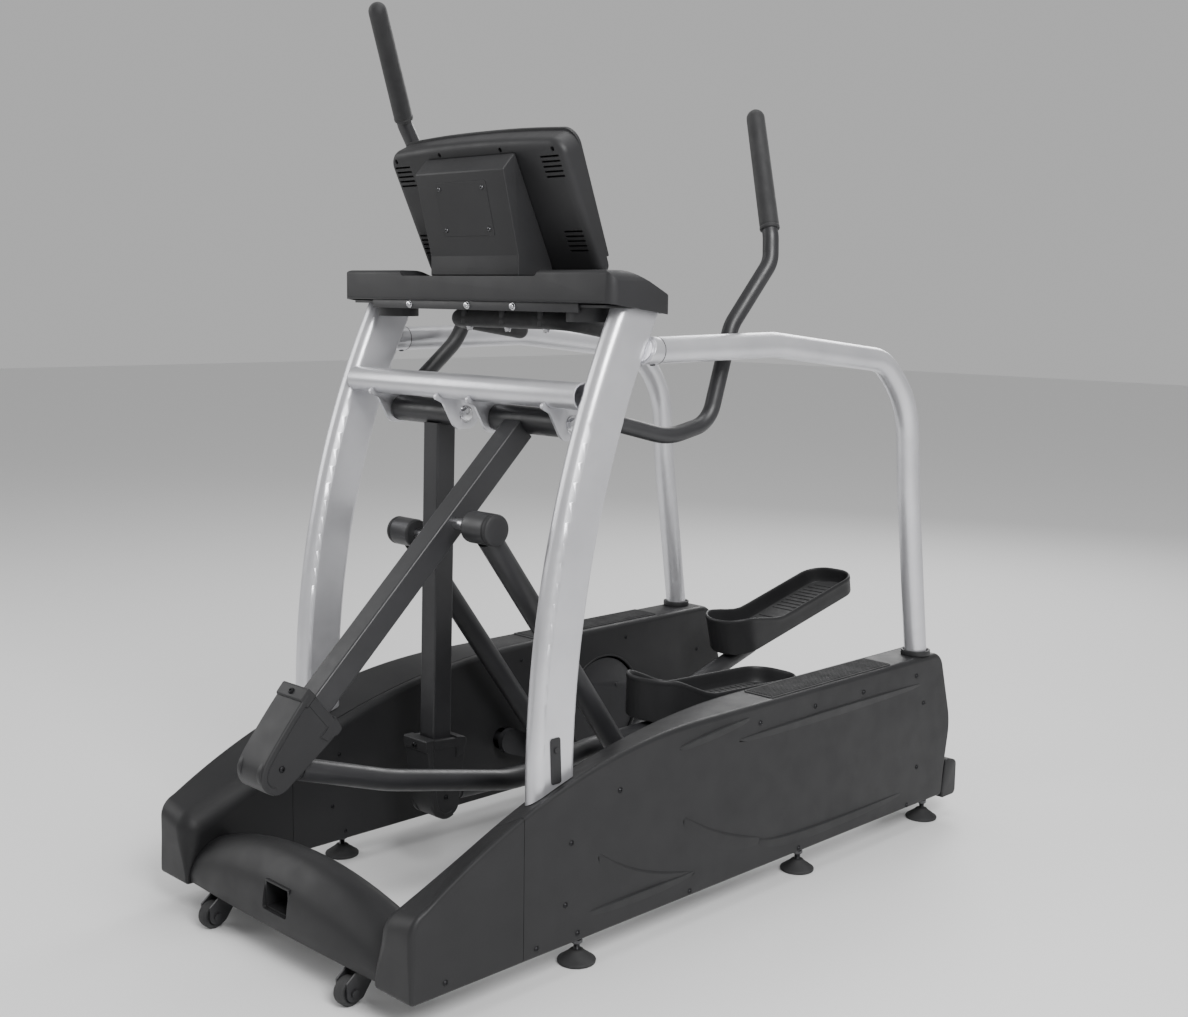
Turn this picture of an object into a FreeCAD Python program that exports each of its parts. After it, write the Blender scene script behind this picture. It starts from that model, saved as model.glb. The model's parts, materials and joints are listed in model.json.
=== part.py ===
import FreeCAD, Part
import math
import os
from FreeCAD import Placement, Rotation, Vector

# A free-standing stepping trainer: two side pods carry a curved upright, a crossbar with two swinging
# rockers, foot links with deep pedals, handrails, a tray and a console.
# Millimetres. +X is the machine's right side, +Y its rear (where the user steps on), +Z up.
# Shapes are drawn in a bench frame whose Y zero lies over the crank area; every placement then adds
# the same shift, so that the origin ends up on the floor under the middle of the whole machine.

DIMENSIONS = {
    "shift_rear": -48.4,          # bench frame to row frame, along Y
    "pod_inner": 300.0,           # |X| of the pods' inner and outer faces
    "pod_outer": 400.0,
    "pod_seam": 312.0,            # |X| where inner and outer cover meet
    "seam_gap": 0.4,
    "pod_front": -800.0,
    "pod_rear": 795.0,
    "pod_floor": 60.0,
    "pod_top": 405.0,
    "cap_seam": -555.0,
    "cover_wall": 3.5,
    "cover_round": 11.0,
    "upright_place": 354.0,       # |X| of the uprights' middle
    "upright_thick": 42.0,
    "upright_deep": 94.0,
    "upright_bend": 1800.0,
    "rail_place": 367.0,
    "rail_size": 50.0,
    "rail_bore": 44.0,
    "crossbar_size": 50.0,
    "crossbar_bore": 43.0,
    "crossbar_rear": -362.0,
    "crossbar_high": 1028.0,
    "pivot_rear": -313.0,         # the rockers' axis in the bench frame
    "pivot_high": 971.0,
    "pivot_pin": 16.0,
    "pivot_clear": 0.05,
    "rocker_place": 125.0,
    "rocker_size": 46.0,
    "rocker_bore": 38.0,
    "hub_drop": 255.0,            # from the rockers' axis to the drive rod's hub
    "hub_place": 220.0,
    "boot_drop": 790.0,           # from the rockers' axis to the foot link's pin
    "rod_size": 45.0,
    "rod_length": 700.0,
    "rod_lean": 36.6,
    "link_size": 40.0,
    "link_neck": 17.5,            # radius of the link's front end, inside the rocker's slot
    "link_place": 125.0,          # |X| of the foot link at the boot
    "pedal_place": 115.0,
    "pedal_length": 490.0,
    "pedal_width": 150.0,
    "pedal_toe": 95.0,
    "pedal_heel": 48.0,
    "crank_rear": 10.4,
    "crank_high": 193.0,
    "crank_throw": 97.6,
    "disc_rear": 345.0,
    "disc_high": 210.0,
    "disc_size": 232.0,
    "handle_size": 32.0,
    "grip_size": 38.0,
    "tray_half": 392.0,
    "tray_front": -354.0,
    "tray_rear": -202.0,
    "bar_half": 165.0,            # |X| of the fixed handlebar's arms
    "cup_place": 278.0,
    "cup_rear": -297.0,
    "cup_size": 82.0,
    "cup_bore": 76.0,
    "console_half": 250.0,
    "screen_half": 165.0,
    "key_size": 18.0,
    "foot_place": 363.0,
    "foot_size": 72.0,
    "wheel_place": 219.0,
    "wheel_rear": -792.0,
    "wheel_size": 52.0,
    "wheel_thick": 24.0,
}

SWING_FRONT = 46.0                # rocker angle ahead of vertical on the right side at rest
SWING_REAR = 1.0                  # and on the left side, which is half a cycle away
LINK_FRONT = -2.5                 # pedal slope, heel up, with the rocker ahead
LINK_REAR = 13.5                  # and with the rocker hanging straight down

doc = FreeCAD.newDocument("Trainer")
sheet = doc.addObject("Spreadsheet::Sheet", "Dims")
for row, (alias, value) in enumerate(DIMENSIONS.items(), start=1):
    sheet.set(f"A{row}", alias)
    sheet.set(f"B{row}", str(value))
    sheet.setAlias(f"B{row}", alias)
doc.recompute()

nodes = {}                        # node name to the document object that is exported
SIDES = (("r", 1), ("l", -1))


def size(alias):
    """A driving dimension, read back from the sheet."""
    return float(sheet.get(alias))


def keep(name, thing, turn=0.0, pin=(0.0, 0.0)):
    """Exports thing under name, turned about an X axis at pin (y, z), then shifted into the row frame."""
    thing.Label = name
    centre = Vector(0, pin[0], pin[1])
    swing = Placement(Vector(), Rotation(Vector(1, 0, 0), turn), centre)
    shift = Placement(Vector(0, size("shift_rear"), 0), Rotation())
    thing.Placement = shift * swing * thing.Placement
    nodes[name] = thing
    return thing


# ---------------------------------------------------------------- helpers: sketches and bodies
def rounded(outline):
    """Edges of a closed outline given as (u, v, radius) corners; each radius becomes a tangent arc."""
    count = len(outline)
    corners = []
    for index in range(count):
        u, v, radius = outline[index]
        here = Vector(u, v, 0)
        back = Vector(*outline[index - 1][:2], 0) - here
        ahead = Vector(*outline[(index + 1) % count][:2], 0) - here
        if radius <= 0:
            corners.append((here, here, here))
            continue
        half = back.getAngle(ahead) / 2
        reach = radius / math.tan(half)
        back.normalize()
        ahead.normalize()
        middle = back + ahead
        middle.normalize()
        nearest = here + middle * (radius / math.sin(half) - radius)
        corners.append((here + back * reach, nearest, here + ahead * reach))
    edges = []
    for index in range(count):
        start, nearest, end = corners[index]
        if (end - start).Length > 1e-6:
            edges.append(Part.Arc(start, nearest, end))
        following = corners[(index + 1) % count][0]
        if (following - end).Length > 1e-6:
            edges.append(Part.LineSegment(end, following))
    return edges


def body(name):
    return doc.addObject("PartDesign::Body", name)


def sketch(owner, role, name, offset=0.0):
    """A sketch on one of the body's own origin planes, moved along the plane's normal."""
    plane = [item for item in owner.Origin.OriginFeatures if item.Role == role][0]
    made = owner.newObject("Sketcher::SketchObject", name)
    made.AttachmentSupport = [(plane, "")]
    made.MapMode = "FlatFace"
    if isinstance(offset, str):
        made.setExpression("AttachmentOffset.Base.z", offset)
    else:
        made.AttachmentOffset = Placement(Vector(0, 0, offset), Rotation())
    return made


def pad(owner, drawn, length, middle=False):
    made = owner.newObject("PartDesign::Pad", owner.Name + "_pad")
    made.Profile = drawn
    if isinstance(length, str):
        made.setExpression("Length", length)
    else:
        made.Length = length
    made.Midplane = middle
    return made


def pocket(owner, drawn, length, middle=False, reverse=False):
    made = owner.newObject("PartDesign::Pocket", owner.Name + "_pocket")
    made.Profile = drawn
    if isinstance(length, str):
        made.setExpression("Length", length)
    else:
        made.Length = length
    made.Midplane = middle
    made.Reversed = reverse
    return made


def plate(name, outline, start, length, plane="YZ_Plane"):
    """A body padded from an outline; start and length may be expressions over the sheet."""
    made = body(name)
    drawn = sketch(made, plane, name + "_sketch", start)
    drawn.addGeometry(rounded(outline), False)
    pad(made, drawn, length)
    return made


def span(side, low, high):
    """(lower X, thickness) of a slab given by two plain |X| values on one side."""
    return (low if side > 0 else -high, high - low)


# ---------------------------------------------------------------- helpers: primitives and tubes
def box(name, low, high):
    made = doc.addObject("Part::Box", name)
    made.Length, made.Width, made.Height = (high[i] - low[i] for i in range(3))
    made.Placement = Placement(Vector(*low), Rotation())
    return made


def cylinder(name, radius, length, base, along=(0, 0, 1)):
    """A cylinder from base, along a direction; radius and length may be expressions."""
    made = doc.addObject("Part::Cylinder", name)
    for prop, value in (("Radius", radius), ("Height", length)):
        if isinstance(value, str):
            made.setExpression(prop, value)
        else:
            setattr(made, prop, value)
    made.Placement = Placement(Vector(*base), Rotation(Vector(0, 0, 1), Vector(*along)))
    return made


def cut(name, base, tool):
    made = doc.addObject("Part::Cut", name)
    made.Base, made.Tool = base, tool
    return made


def common(name, base, tool):
    made = doc.addObject("Part::Common", name)
    made.Base, made.Tool = base, tool
    return made


def fuse(name, parts):
    made = doc.addObject("Part::MultiFuse", name)
    made.Shapes = parts
    return made


def group(name, parts):
    """Identical pieces kept apart as separate solids of one node."""
    made = doc.addObject("Part::Compound", name)
    made.Links = parts
    return made


def ring(name, outer, inner, length, base, along=(0, 0, 1)):
    outside = cylinder(name + "_outer", outer, length, base, along)
    inside = cylinder(name + "_inner", inner, length, base, along)
    return cut(name, outside, inside)


def route(points, bends):
    """A wire through 3-D points whose inner corners are tangent arcs of the given radii."""
    places = [Vector(*point) for point in points]
    edges = []
    start = places[0]
    for index in range(1, len(places) - 1):
        here = places[index]
        back = (places[index - 1] - here).normalize()
        ahead = (places[index + 1] - here).normalize()
        half = back.getAngle(ahead) / 2
        radius = bends[index - 1]
        reach = radius / math.tan(half)
        middle = (back + ahead).normalize()
        entry, leave = here + back * reach, here + ahead * reach
        nearest = here + middle * (radius / math.sin(half) - radius)
        if (entry - start).Length > 1e-6:
            edges.append(Part.LineSegment(start, entry).toShape())
        edges.append(Part.Arc(entry, nearest, leave).toShape())
        start = leave
    edges.append(Part.LineSegment(start, places[-1]).toShape())
    return Part.Wire(edges)


def tube(name, points, bends, outer, inner=None):
    """A round tube swept along a bent route; its diameters are named in the sheet."""
    wire = doc.addObject("Part::Feature", name + "_route")
    wire.Shape = route(points, bends)
    count = len(wire.Shape.Edges)
    direction = (Vector(*points[1]) - Vector(*points[0])).normalize()
    sweeps = []
    for role, diameter in (("outer", outer), ("inner", inner)):
        if diameter is None:
            continue
        circle = doc.addObject("Part::Circle", f"{name}_{role}_circle")
        if isinstance(diameter, str):
            circle.setExpression("Radius", f"Dims.{diameter} / 2")
        else:
            circle.Radius = diameter / 2
        circle.Placement = Placement(Vector(*points[0]), Rotation(Vector(0, 0, 1), direction))
        sweep = doc.addObject("Part::Sweep", f"{name}_{role}")
        sweep.Sections = [circle]
        sweep.Spine = (wire, [f"Edge{i + 1}" for i in range(count)])
        sweep.Solid = True
        sweep.Frenet = False
        sweeps.append(sweep)
    if len(sweeps) == 1:
        return sweeps[0]
    return cut(name, sweeps[0], sweeps[1])


def rounded_box(name, low, high, radius, axis="Z"):
    """A block whose edges along one axis are rounded."""
    made = body(name)
    (x0, y0, z0), (x1, y1, z1) = low, high
    if axis == "Z":
        corners, plane, start, length = (x0, y0, x1, y1), "XY_Plane", z0, z1 - z0
    elif axis == "X":
        corners, plane, start, length = (y0, z0, y1, z1), "YZ_Plane", x0, x1 - x0
    else:
        corners, plane, start, length = (x0, z0, x1, z1), "XZ_Plane", -y1, y1 - y0
    a, b, c, d = corners
    drawn = sketch(made, plane, name + "_sketch", start)
    drawn.addGeometry(rounded([(a, b, radius), (a, d, radius), (c, d, radius), (c, b, radius)]), False)
    pad(made, drawn, length)
    return made


# ---------------------------------------------------------------- side pods
def pod_outline(across, inset):
    """The pod's side view; across runs from 0 at the inner face, whose shoulder is lower, to 1."""
    front, rear = size("pod_front") + inset, size("pod_rear") - inset
    low, top = size("pod_floor") + inset, size("pod_top") - inset
    nose = 180 + 20 * across - 1.2 * inset
    shoulder = -240 - 232 * across + 0.3 * inset
    sweep = 1900 - 670 * across
    return [(front, low, 8), (front, nose, 42 - inset), (shoulder, top, sweep),
            (rear - 52, top, 40 - inset), (rear, 232, 150 - inset), (rear - 30, low, 10)]


def pod_solid(name, side, inset):
    """The whole pod, lofted across its width with rounded long edges; inset makes the hollow."""
    made = body(name)
    near, far = size("pod_inner"), size("pod_outer")
    wide = far - near
    steps = [(inset, inset)]
    if inset == 0:
        bend = size("cover_round")
        turns = [math.radians(angle) for angle in (0, 25, 50, 90)]
        rise = [(bend * (1 - math.cos(turn)), bend * (1 - math.sin(turn))) for turn in turns]
        steps = rise
    stations = steps + [(wide - along, drop) for along, drop in reversed(steps)]
    drawn = []
    for index, (along, drop) in enumerate(stations):
        face = sketch(made, "YZ_Plane", f"{name}_{index}", side * (near + along))
        face.addGeometry(rounded(pod_outline(along / wide, drop)), False)
        drawn.append(face)
    loft = made.newObject("PartDesign::AdditiveLoft", name + "_loft")
    loft.Profile = drawn[0]
    loft.Sections = drawn[1:]
    loft.Ruled = True
    return made


def build_pods():
    """Covers, caps and step pads; returns each pod grown a little, which its neighbours are cut back by."""
    gap = size("seam_gap")
    caps, clears = [], []
    for tag, side in SIDES:
        skin = pod_solid("pod_skin_" + tag, side, 0.0)
        hollow = pod_solid("pod_hollow_" + tag, side, size("cover_wall"))
        shell = cut("pod_shell_" + tag, skin, hollow)

        def zone(name, x_low, x_high, y_low, y_high):
            low, thick = span(side, x_low, x_high)
            return box(f"{name}_{tag}", (low, y_low, 0), (low + thick, y_high, 600))

        seam, front = size("pod_seam"), size("cap_seam")
        inner = common("inner_cover_" + tag, shell, zone("inner_zone", 290, seam - gap, front + gap, 900))
        outer = common("outer_cover_" + tag, shell, zone("outer_zone", seam, 410, front + gap, 900))
        cap = common("front_cap_" + tag, shell, zone("cap_zone", 290, 410, -900, front))
        # the round window in the inner cover that shows the disc, and the crank shaft's hole
        x_low, thick = span(side, 290, 320)
        window = cylinder("window_" + tag, "Dims.disc_size / 2 + 5", thick,
                          (x_low, size("disc_rear"), size("disc_high")), (1, 0, 0))
        shaft = cylinder("shaft_hole_" + tag, 24.0, thick,
                         (x_low, size("crank_rear"), size("crank_high")), (1, 0, 0))
        opened = cut("inner_cover_open_" + tag, inner, fuse("inner_holes_" + tag, [window, shaft]))
        keep("inner_cover_" + tag, opened)
        keep("outer_cover_" + tag, outer)
        caps.append(cap)
        clears.append(pod_solid("pod_clear_" + tag, side, -1.5))
    keep("front_caps", group("front_caps", caps))

    pads = []
    for tag, side in SIDES:
        low, thick = span(side, 316, 391)
        pads.append(rounded_box("step_pad_" + tag, (low, 125, 405.2), (low + thick, 550, 408.2), 8))
    keep("step_pads", group("step_pads", pads))
    return clears


RAIL_TOP = 94.0                   # height of the base rails' upper face, below the pulleys


def build_base(clears):
    rails, feet = [], []
    for tag, side in SIDES:
        low, thick = span(side, 334, 394)
        hull = box("rail_hull_" + tag, (low, -770, 66), (low + thick, 752, RAIL_TOP))
        core = box("rail_core_" + tag, (low + 3, -770, 69), (low + thick - 3, 752, RAIL_TOP - 3))
        rails.append(cut("base_rail_" + tag, hull, core))
    # the front crossmember lies under its moulded shroud
    hull = box("front_beam_hull", (-299, -770, 66.2), (299, -690, RAIL_TOP))
    core = box("front_beam_core", (-299, -766, 70.2), (299, -694, RAIL_TOP - 4))
    rails.append(cut("front_beam", hull, core))
    keep("base_rails", group("base_rails", rails))

    cover = plate("shroud_hull", [(-798, 66, 10), (-798, 150, 50), (-764, 197, 38), (-712, 197, 36),
                                  (-662, 66, 12)], -299.2, 598.4)
    hollow = plate("shroud_hollow", [(-794, 50, 0), (-794, 149, 46), (-762, 193, 34), (-715, 193, 32),
                                     (-660.5, 50, 0)], -300, 600)
    window = box("inlet_window", (-38, -830, 96), (38, -740, 150))
    shroud = cut("shroud_shell", cover, hollow)
    keep("front_shroud", cut("front_shroud", shroud, window))

    case = box("inlet_case", (-37.5, -790, 96.5), (37.5, -735, 149.5))
    room = box("inlet_room", (-34, -800, 100), (34, -742, 146))
    socket = rounded_box("inlet_socket", (-17, -742, 112), (17, -722, 136), 5, axis="Y")
    pins = [box(f"inlet_pin_{i}", (x - 1.2, -752, 121), (x + 1.2, -740, 127))
            for i, x in enumerate((-7, 0, 7))]
    keep("power_inlet", fuse("power_inlet", [cut("inlet_cup", case, room), socket] + pins))

    # rear crossmember, which wraps the pods' rear ends at the bottom
    outline = [(770, 50, 6), (762, 128, 6), (790, 142, 16), (826, 132, 14), (826, 50, 12)]
    block = plate("rear_block", outline, -400, 800)
    keep("rear_crossmember", cut("rear_crossmember", block, fuse("rear_rooms", clears)))

    # six levelling feet: disc, neck and threaded stem, each with its lock nut
    for tag, side in SIDES:
        for place, y in (("front", -390), ("middle", 266), ("rear", 742)):
            x = side * size("foot_place")
            name = f"foot_{place}_{tag}"
            disc = cylinder(name + "_disc", "Dims.foot_size / 2", 8, (x, y, 0))
            neck = doc.addObject("Part::Cone", name + "_neck")
            neck.Radius1, neck.Radius2, neck.Height = 30, 13, 16
            neck.Placement = Placement(Vector(x, y, 8), Rotation())
            stem = cylinder(name + "_stem", 6, 36.0, (x, y, 23.9))
            nut = doc.addObject("Part::Prism", name + "_nut")
            nut.Polygon, nut.Circumradius, nut.Height = 6, 11, 8
            nut.Placement = Placement(Vector(x, y, 36), Rotation())
            feet.append(fuse(name, [disc, neck, stem, nut]))
    keep("leveler_feet", group("leveler_feet", feet))

    # two transport wheels on forks under the front crossmember
    forks = []
    y, z, wide = size("wheel_rear"), size("wheel_size") / 2, size("wheel_thick")
    for tag, side in SIDES:
        x = side * size("wheel_place")
        cheeks = []
        for part, inner in (("a", -wide / 2 - 5), ("b", wide / 2 + 1)):
            outline = [(y - 15, z - 15, 14), (y - 15, z + 20, 3), (y + 10, 66, 2),
                       (y + 50, 66, 2), (y + 50, 58, 2), (y + 16, z - 15, 14)]
            cheeks.append(plate(f"cheek_{part}_{tag}", outline, x + inner, 4.0))
        bridge = box("fork_bridge_" + tag, (x - wide / 2 - 5, y + 16, 58), (x + wide / 2 + 5, y + 50, 65.8))
        bore = cylinder("fork_bore_" + tag, 4.0, wide + 20, (x - wide / 2 - 10, y, z), (1, 0, 0))
        forks.append(cut("wheel_fork_" + tag, fuse("fork_" + tag, cheeks + [bridge]), bore))
        bolt = cylinder("axle_rod_" + tag, 4.0, wide + 10, (x - wide / 2 - 5, y, z), (1, 0, 0))
        heads = [cylinder(f"axle_head_{i}_{tag}", 7.0, 4, (x + place, y, z), (1, 0, 0))
                 for i, place in enumerate((-wide / 2 - 9, wide / 2 + 5))]
        forks.append(fuse("wheel_axle_" + tag, [bolt] + heads))
        wheel = body("wheel_" + tag)
        drawn = sketch(wheel, "XY_Plane", f"wheel_{tag}_sketch")
        half, outer = wide / 2, size("wheel_size") / 2
        drawn.addGeometry(rounded([(-half, 4.05, 0), (half, 4.05, 0), (half, outer, 5),
                                   (-half, outer, 5)]), False)
        spun = wheel.newObject("PartDesign::Revolution", f"wheel_{tag}_spin")
        spun.Profile = drawn
        spun.ReferenceAxis = (drawn, ["H_Axis"])
        spun.Angle = 360
        wheel.Placement = Placement(Vector(x, y, z), Rotation())
        keep("transport_wheel_" + tag, wheel)
    keep("wheel_forks", group("wheel_forks", forks))


# ---------------------------------------------------------------- uprights, crossbar, handrails
UPRIGHT_FOOT = 290.0
UPRIGHT_START = 360.0             # height where the upright's curve begins
UPRIGHT_LINE = -457.0
UPRIGHT_TOP = 1182.8
UPRIGHT_OVER = 25.0               # the swept length that is trimmed off level at the top


def upright_line(z):
    """Y of the upright's middle line at a height."""
    if z < UPRIGHT_START:
        return UPRIGHT_LINE
    bend = size("upright_bend")
    return UPRIGHT_LINE + bend - math.sqrt(bend ** 2 - (z - UPRIGHT_START) ** 2)


def build_uprights(clears):
    thick, deep = size("upright_thick"), size("upright_deep")
    slots = []
    for tag, side in SIDES:
        x = side * size("upright_place")
        made = body("upright_" + tag)
        spine = sketch(made, "YZ_Plane", f"upright_{tag}_spine", x)
        start = Vector(UPRIGHT_LINE, UPRIGHT_START, 0)
        over = UPRIGHT_TOP + UPRIGHT_OVER
        end = Vector(upright_line(over), over, 0)
        middle_z = (UPRIGHT_START + UPRIGHT_TOP) / 2
        spine.addGeometry(Part.LineSegment(Vector(UPRIGHT_LINE, UPRIGHT_FOOT, 0), start), False)
        spine.addGeometry(Part.Arc(start, Vector(upright_line(middle_z), middle_z, 0), end), False)
        for role, wall in (("outer", 0.0), ("inner", 3.0)):
            profile = sketch(made, "XY_Plane", f"upright_{tag}_{role}", UPRIGHT_FOOT)
            a, b = thick / 2 - wall, deep / 2 - wall
            y = UPRIGHT_LINE
            profile.addGeometry(rounded([(x - a, y - b, 19 - wall), (x + a, y - b, 19 - wall),
                                         (x + a, y + b, 12 - wall), (x - a, y + b, 12 - wall)]), False)
            kind = "PartDesign::AdditivePipe" if role == "outer" else "PartDesign::SubtractivePipe"
            pipe = made.newObject(kind, f"upright_{tag}_{role}_pipe")
            pipe.Profile = profile
            pipe.Spine = (spine, ["Edge1", "Edge2"])
        # the foot follows the pod's sloping crown, and the top is level under the tray
        over = box("upright_over_" + tag, (x - 60, -400, UPRIGHT_TOP), (x + 60, 0, UPRIGHT_TOP + 100))
        trim = fuse("upright_trim_" + tag, clears + [over])
        keep("upright_" + tag, cut("upright_cut_" + tag, made, trim))
        face = side * (size("upright_place") + thick / 2)
        low = face if side > 0 else face - 2.2
        base = plate("slot_hull_" + tag, [(-470, 354, 5), (-474, 438, 5), (-450, 438, 5), (-446, 354, 5)],
                     low, 2.2)
        slots.append(base)
        slots.append(cylinder("slot_screw_" + tag, 5.0, 3.0,
                              (face + side * 2.3, -461, 416), (side, 0, 0)))
    keep("slot_plates", group("slot_plates", slots))

    # crossbar between the uprights, with the four welded lug plates that carry the rockers
    reach = size("upright_place") - thick / 2 - 0.2
    bar_y, bar_z = size("crossbar_rear"), size("crossbar_high")
    bar = ring("crossbar_tube", "Dims.crossbar_size / 2", "Dims.crossbar_bore / 2", 2 * reach,
               (-reach, bar_y, bar_z), (1, 0, 0))
    lugs, pins = [bar], []
    pivot_y, pivot_z = size("pivot_rear"), size("pivot_high")
    for tag, side in SIDES:
        for place, low in (("in", 44), ("out", 251)):
            start, wide = span(side, low, low + 6)
            outline = [(bar_y - 35, bar_z - 22, 6), (bar_y - 8, bar_z - 34, 4),
                       (pivot_y - 26, pivot_z - 30, 26), (pivot_y + 34, pivot_z - 30, 30),
                       (pivot_y + 34, pivot_z + 36, 30),
                       (bar_y + 22, bar_z + 12, 4)]
            slab = plate(f"lug_slab_{place}_{tag}", outline, start, wide)
            bar_room = cylinder(f"lug_bar_{place}_{tag}", 25.2, wide + 2, (start - 1, bar_y, bar_z),
                                (1, 0, 0))
            bolt_room = cylinder(f"lug_bolt_{place}_{tag}", 8.0, wide + 2, (start - 1, pivot_y, pivot_z),
                                 (1, 0, 0))
            holes = fuse(f"lug_holes_{place}_{tag}", [bar_room, bolt_room])
            lugs.append(cut(f"lug_{place}_{tag}", slab, holes))
        start, wide = span(side, 44, 257)
        rod = cylinder("pin_rod_" + tag, "Dims.pivot_pin / 2", wide, (start, pivot_y, pivot_z), (1, 0, 0))
        heads = []
        for i, place in enumerate((start - 7, start + wide)):
            head = doc.addObject("Part::Prism", f"pin_head_{i}_{tag}")
            head.Polygon, head.Circumradius, head.Height = 6, 13, 7
            head.Placement = Placement(Vector(place, pivot_y, pivot_z), Rotation(Vector(0, 1, 0), 90))
            heads.append(head)
        pins.append(fuse("pin_" + tag, [rod] + heads))
    keep("crossbar", group("crossbar", lugs))
    keep("pivot_pins", group("pivot_pins", pins))


def build_handrails():
    """Handrails, the sleeves that join them to the uprights and the collars that join them to the pods."""
    joins = []
    for tag, side in SIDES:
        x = side * size("rail_place")
        points = [(x, -213, 1108), (x, 125, 1114), (x, 500, 1076), (x, 604, 985), (x, 622, 790),
                  (x, 680, 409)]
        bends = [260, 105, 200, 900]
        keep("handrail_" + tag, tube("handrail_" + tag, points, bends, "rail_size", "rail_bore"))
        sleeve = ring("sleeve_" + tag, 25.0, 21.0, 110, (x, -323.8, 1108), (0, 1, 0))
        low, wide = span(side, 330, 400)
        ahead = plate("sleeve_cut_" + tag, [(-400, 1060, 0), (upright_line(1060) + 52, 1060, 0),
                                            (upright_line(1150) + 52, 1150, 0), (-400, 1150, 0)], low, wide)
        joins.append(cut("rail_sleeve_" + tag, sleeve, ahead))
        joins.append(ring("collar_" + tag, 33.0, 27.5, 11, (x, 679.8, 405.4)))
    keep("rail_joins", group("rail_joins", joins))


# ---------------------------------------------------------------- tray, fixed handlebar, console
CLAMPS = (-112, 2, 112)           # X of the clamps that hold the fixed handlebar under the tray


def build_tray():
    half, front, rear = size("tray_half"), size("tray_front"), size("tray_rear")
    outline = [(front, 1191, 6), (front, 1249, 8), (-300, 1249, 60), (rear, 1204, 12), (rear, 1172, 6)]
    made = body("tray_body")
    drawn = sketch(made, "YZ_Plane", "tray_side")
    drawn.addGeometry(rounded(outline), False)
    pad(made, drawn, "2 * Dims.tray_half", middle=True)
    doc.recompute()
    # the console's bay: the middle of the tray is a little lower than its two ends
    bay = sketch(made, "XZ_Plane", "tray_bay")
    bay.addGeometry(rounded([(-215, 1262, 0), (-195, 1238, 8), (195, 1238, 8), (215, 1262, 0)]), False)
    pocket(made, bay, 2000.0, middle=True)
    doc.recompute()
    plan = plate("tray_plan", [(-half, front, 20), (-half, rear, 14), (half, rear, 14),
                               (half, front, 20)], 1100.0, 300.0, plane="XY_Plane")
    room = plate("tray_room", [(front + 4, 1100, 0), (front + 4, 1234, 4), (-300, 1234, 50),
                               (rear - 2.5, 1197, 8), (rear - 2.5, 1100, 0)], -half + 5, 2 * half - 10)
    inner = plate("tray_inner", [(-half + 5, front + 4, 15), (-half + 5, rear - 2.5, 9),
                                 (half - 5, rear - 2.5, 9), (half - 5, front + 4, 15)], 1000.0, 400.0,
                  plane="XY_Plane")
    body_cut = cut("tray_hollow", common("tray_round", made, plan), common("tray_inside", room, inner))
    wells = [cylinder("well_" + tag, "Dims.cup_size / 2 + 0.3", 200, (side * size("cup_place"),
             size("cup_rear"), 1100)) for tag, side in SIDES]
    keep("tray", cut("tray", body_cut, fuse("tray_wells", wells)))

    cups = []
    for tag, side in SIDES:
        x, y = side * size("cup_place"), size("cup_rear")
        outside = cylinder("cup_out_" + tag, "Dims.cup_size / 2", 92, (x, y, 1157))
        inside = cylinder("cup_in_" + tag, "Dims.cup_bore / 2", 92, (x, y, 1160))
        cups.append(cut("cup_" + tag, outside, inside))
    keep("cup_holders", group("cup_holders", cups))

    # steel plate that ties the uprights together under the tray, with its screws
    deck = rounded_box("deck", (-374, -341, 1183), (374, -212, 1188), 10)
    flange = box("deck_flange", (-300, -346, 1174), (300, -341, 1190.6))
    relief = [cylinder("deck_well_" + tag, "Dims.cup_size / 2 + 2", 40, (side * size("cup_place"),
              size("cup_rear"), 1170)) for tag, side in SIDES]
    plates = [cut("deck_cut", fuse("deck_form", [deck, flange]), fuse("deck_wells", relief))]

    # fixed handlebar: a bent U whose two arms reach back to the user under foam
    across, rear_high, reach_high = size("bar_half"), 1160.0, 1133.0
    points = [(-across, -63, reach_high), (-across, -246, rear_high), (across, -246, rear_high),
              (across, -63, reach_high)]
    keep("fixed_handlebar", tube("fixed_handlebar", points, [40, 40], 22.0, 17.0))
    foam = []
    for tag, side in SIDES:
        start = Vector(side * across, -58, reach_high - 0.7)
        end = Vector(side * across, -196, rear_high - 7.4)
        along = (end - start).normalize()
        outside = cylinder("foam_out_" + tag, 15.0, 138, tuple(start), tuple(along))
        inside = cylinder("foam_in_" + tag, 11.2, 142, tuple(start + along * 4), tuple(along))
        foam.append(cut("foam_" + tag, outside, inside))
    for i, x in enumerate((-102, 12)):
        foam.append(ring(f"foam_across_{i}", 15.0, 11.2, 90, (x, -246, rear_high), (1, 0, 0)))
    keep("fixed_grips", group("fixed_grips", foam))
    for i, x in enumerate(CLAMPS):
        block = rounded_box(f"hanger_block_{i}", (x - 8, -264, 1146), (x + 8, -228, 1182.8), 4, axis="Z")
        bore = cylinder(f"hanger_bore_{i}", 11.2, 20, (x - 10, -246, rear_high), (1, 0, 0))
        plates.append(cut(f"hanger_{i}", block, bore))
    keep("tray_plate", group("tray_plate", plates))


LEAN = 25.5                       # the console leans ahead by this many degrees from upright


def console_point(depth, height):
    """Bench (y, z) of a point given by its depth behind the back face and its height up the console."""
    lean = math.radians(LEAN)
    foot_y, foot_z = -247.0, 1262.0
    return (foot_y - height * math.sin(lean) + depth * math.cos(lean),
            foot_z + height * math.cos(lean) + depth * math.sin(lean))


def slab(name, x_half, back, front, low, high, radius=0.0):
    """A leaning block of the console between two depths and two heights."""
    corners = [console_point(back, low), console_point(back, high), console_point(front, high),
               console_point(front, low)]
    return plate(name, [(y, z, radius) for y, z in corners], -x_half, 2 * x_half)


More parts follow.
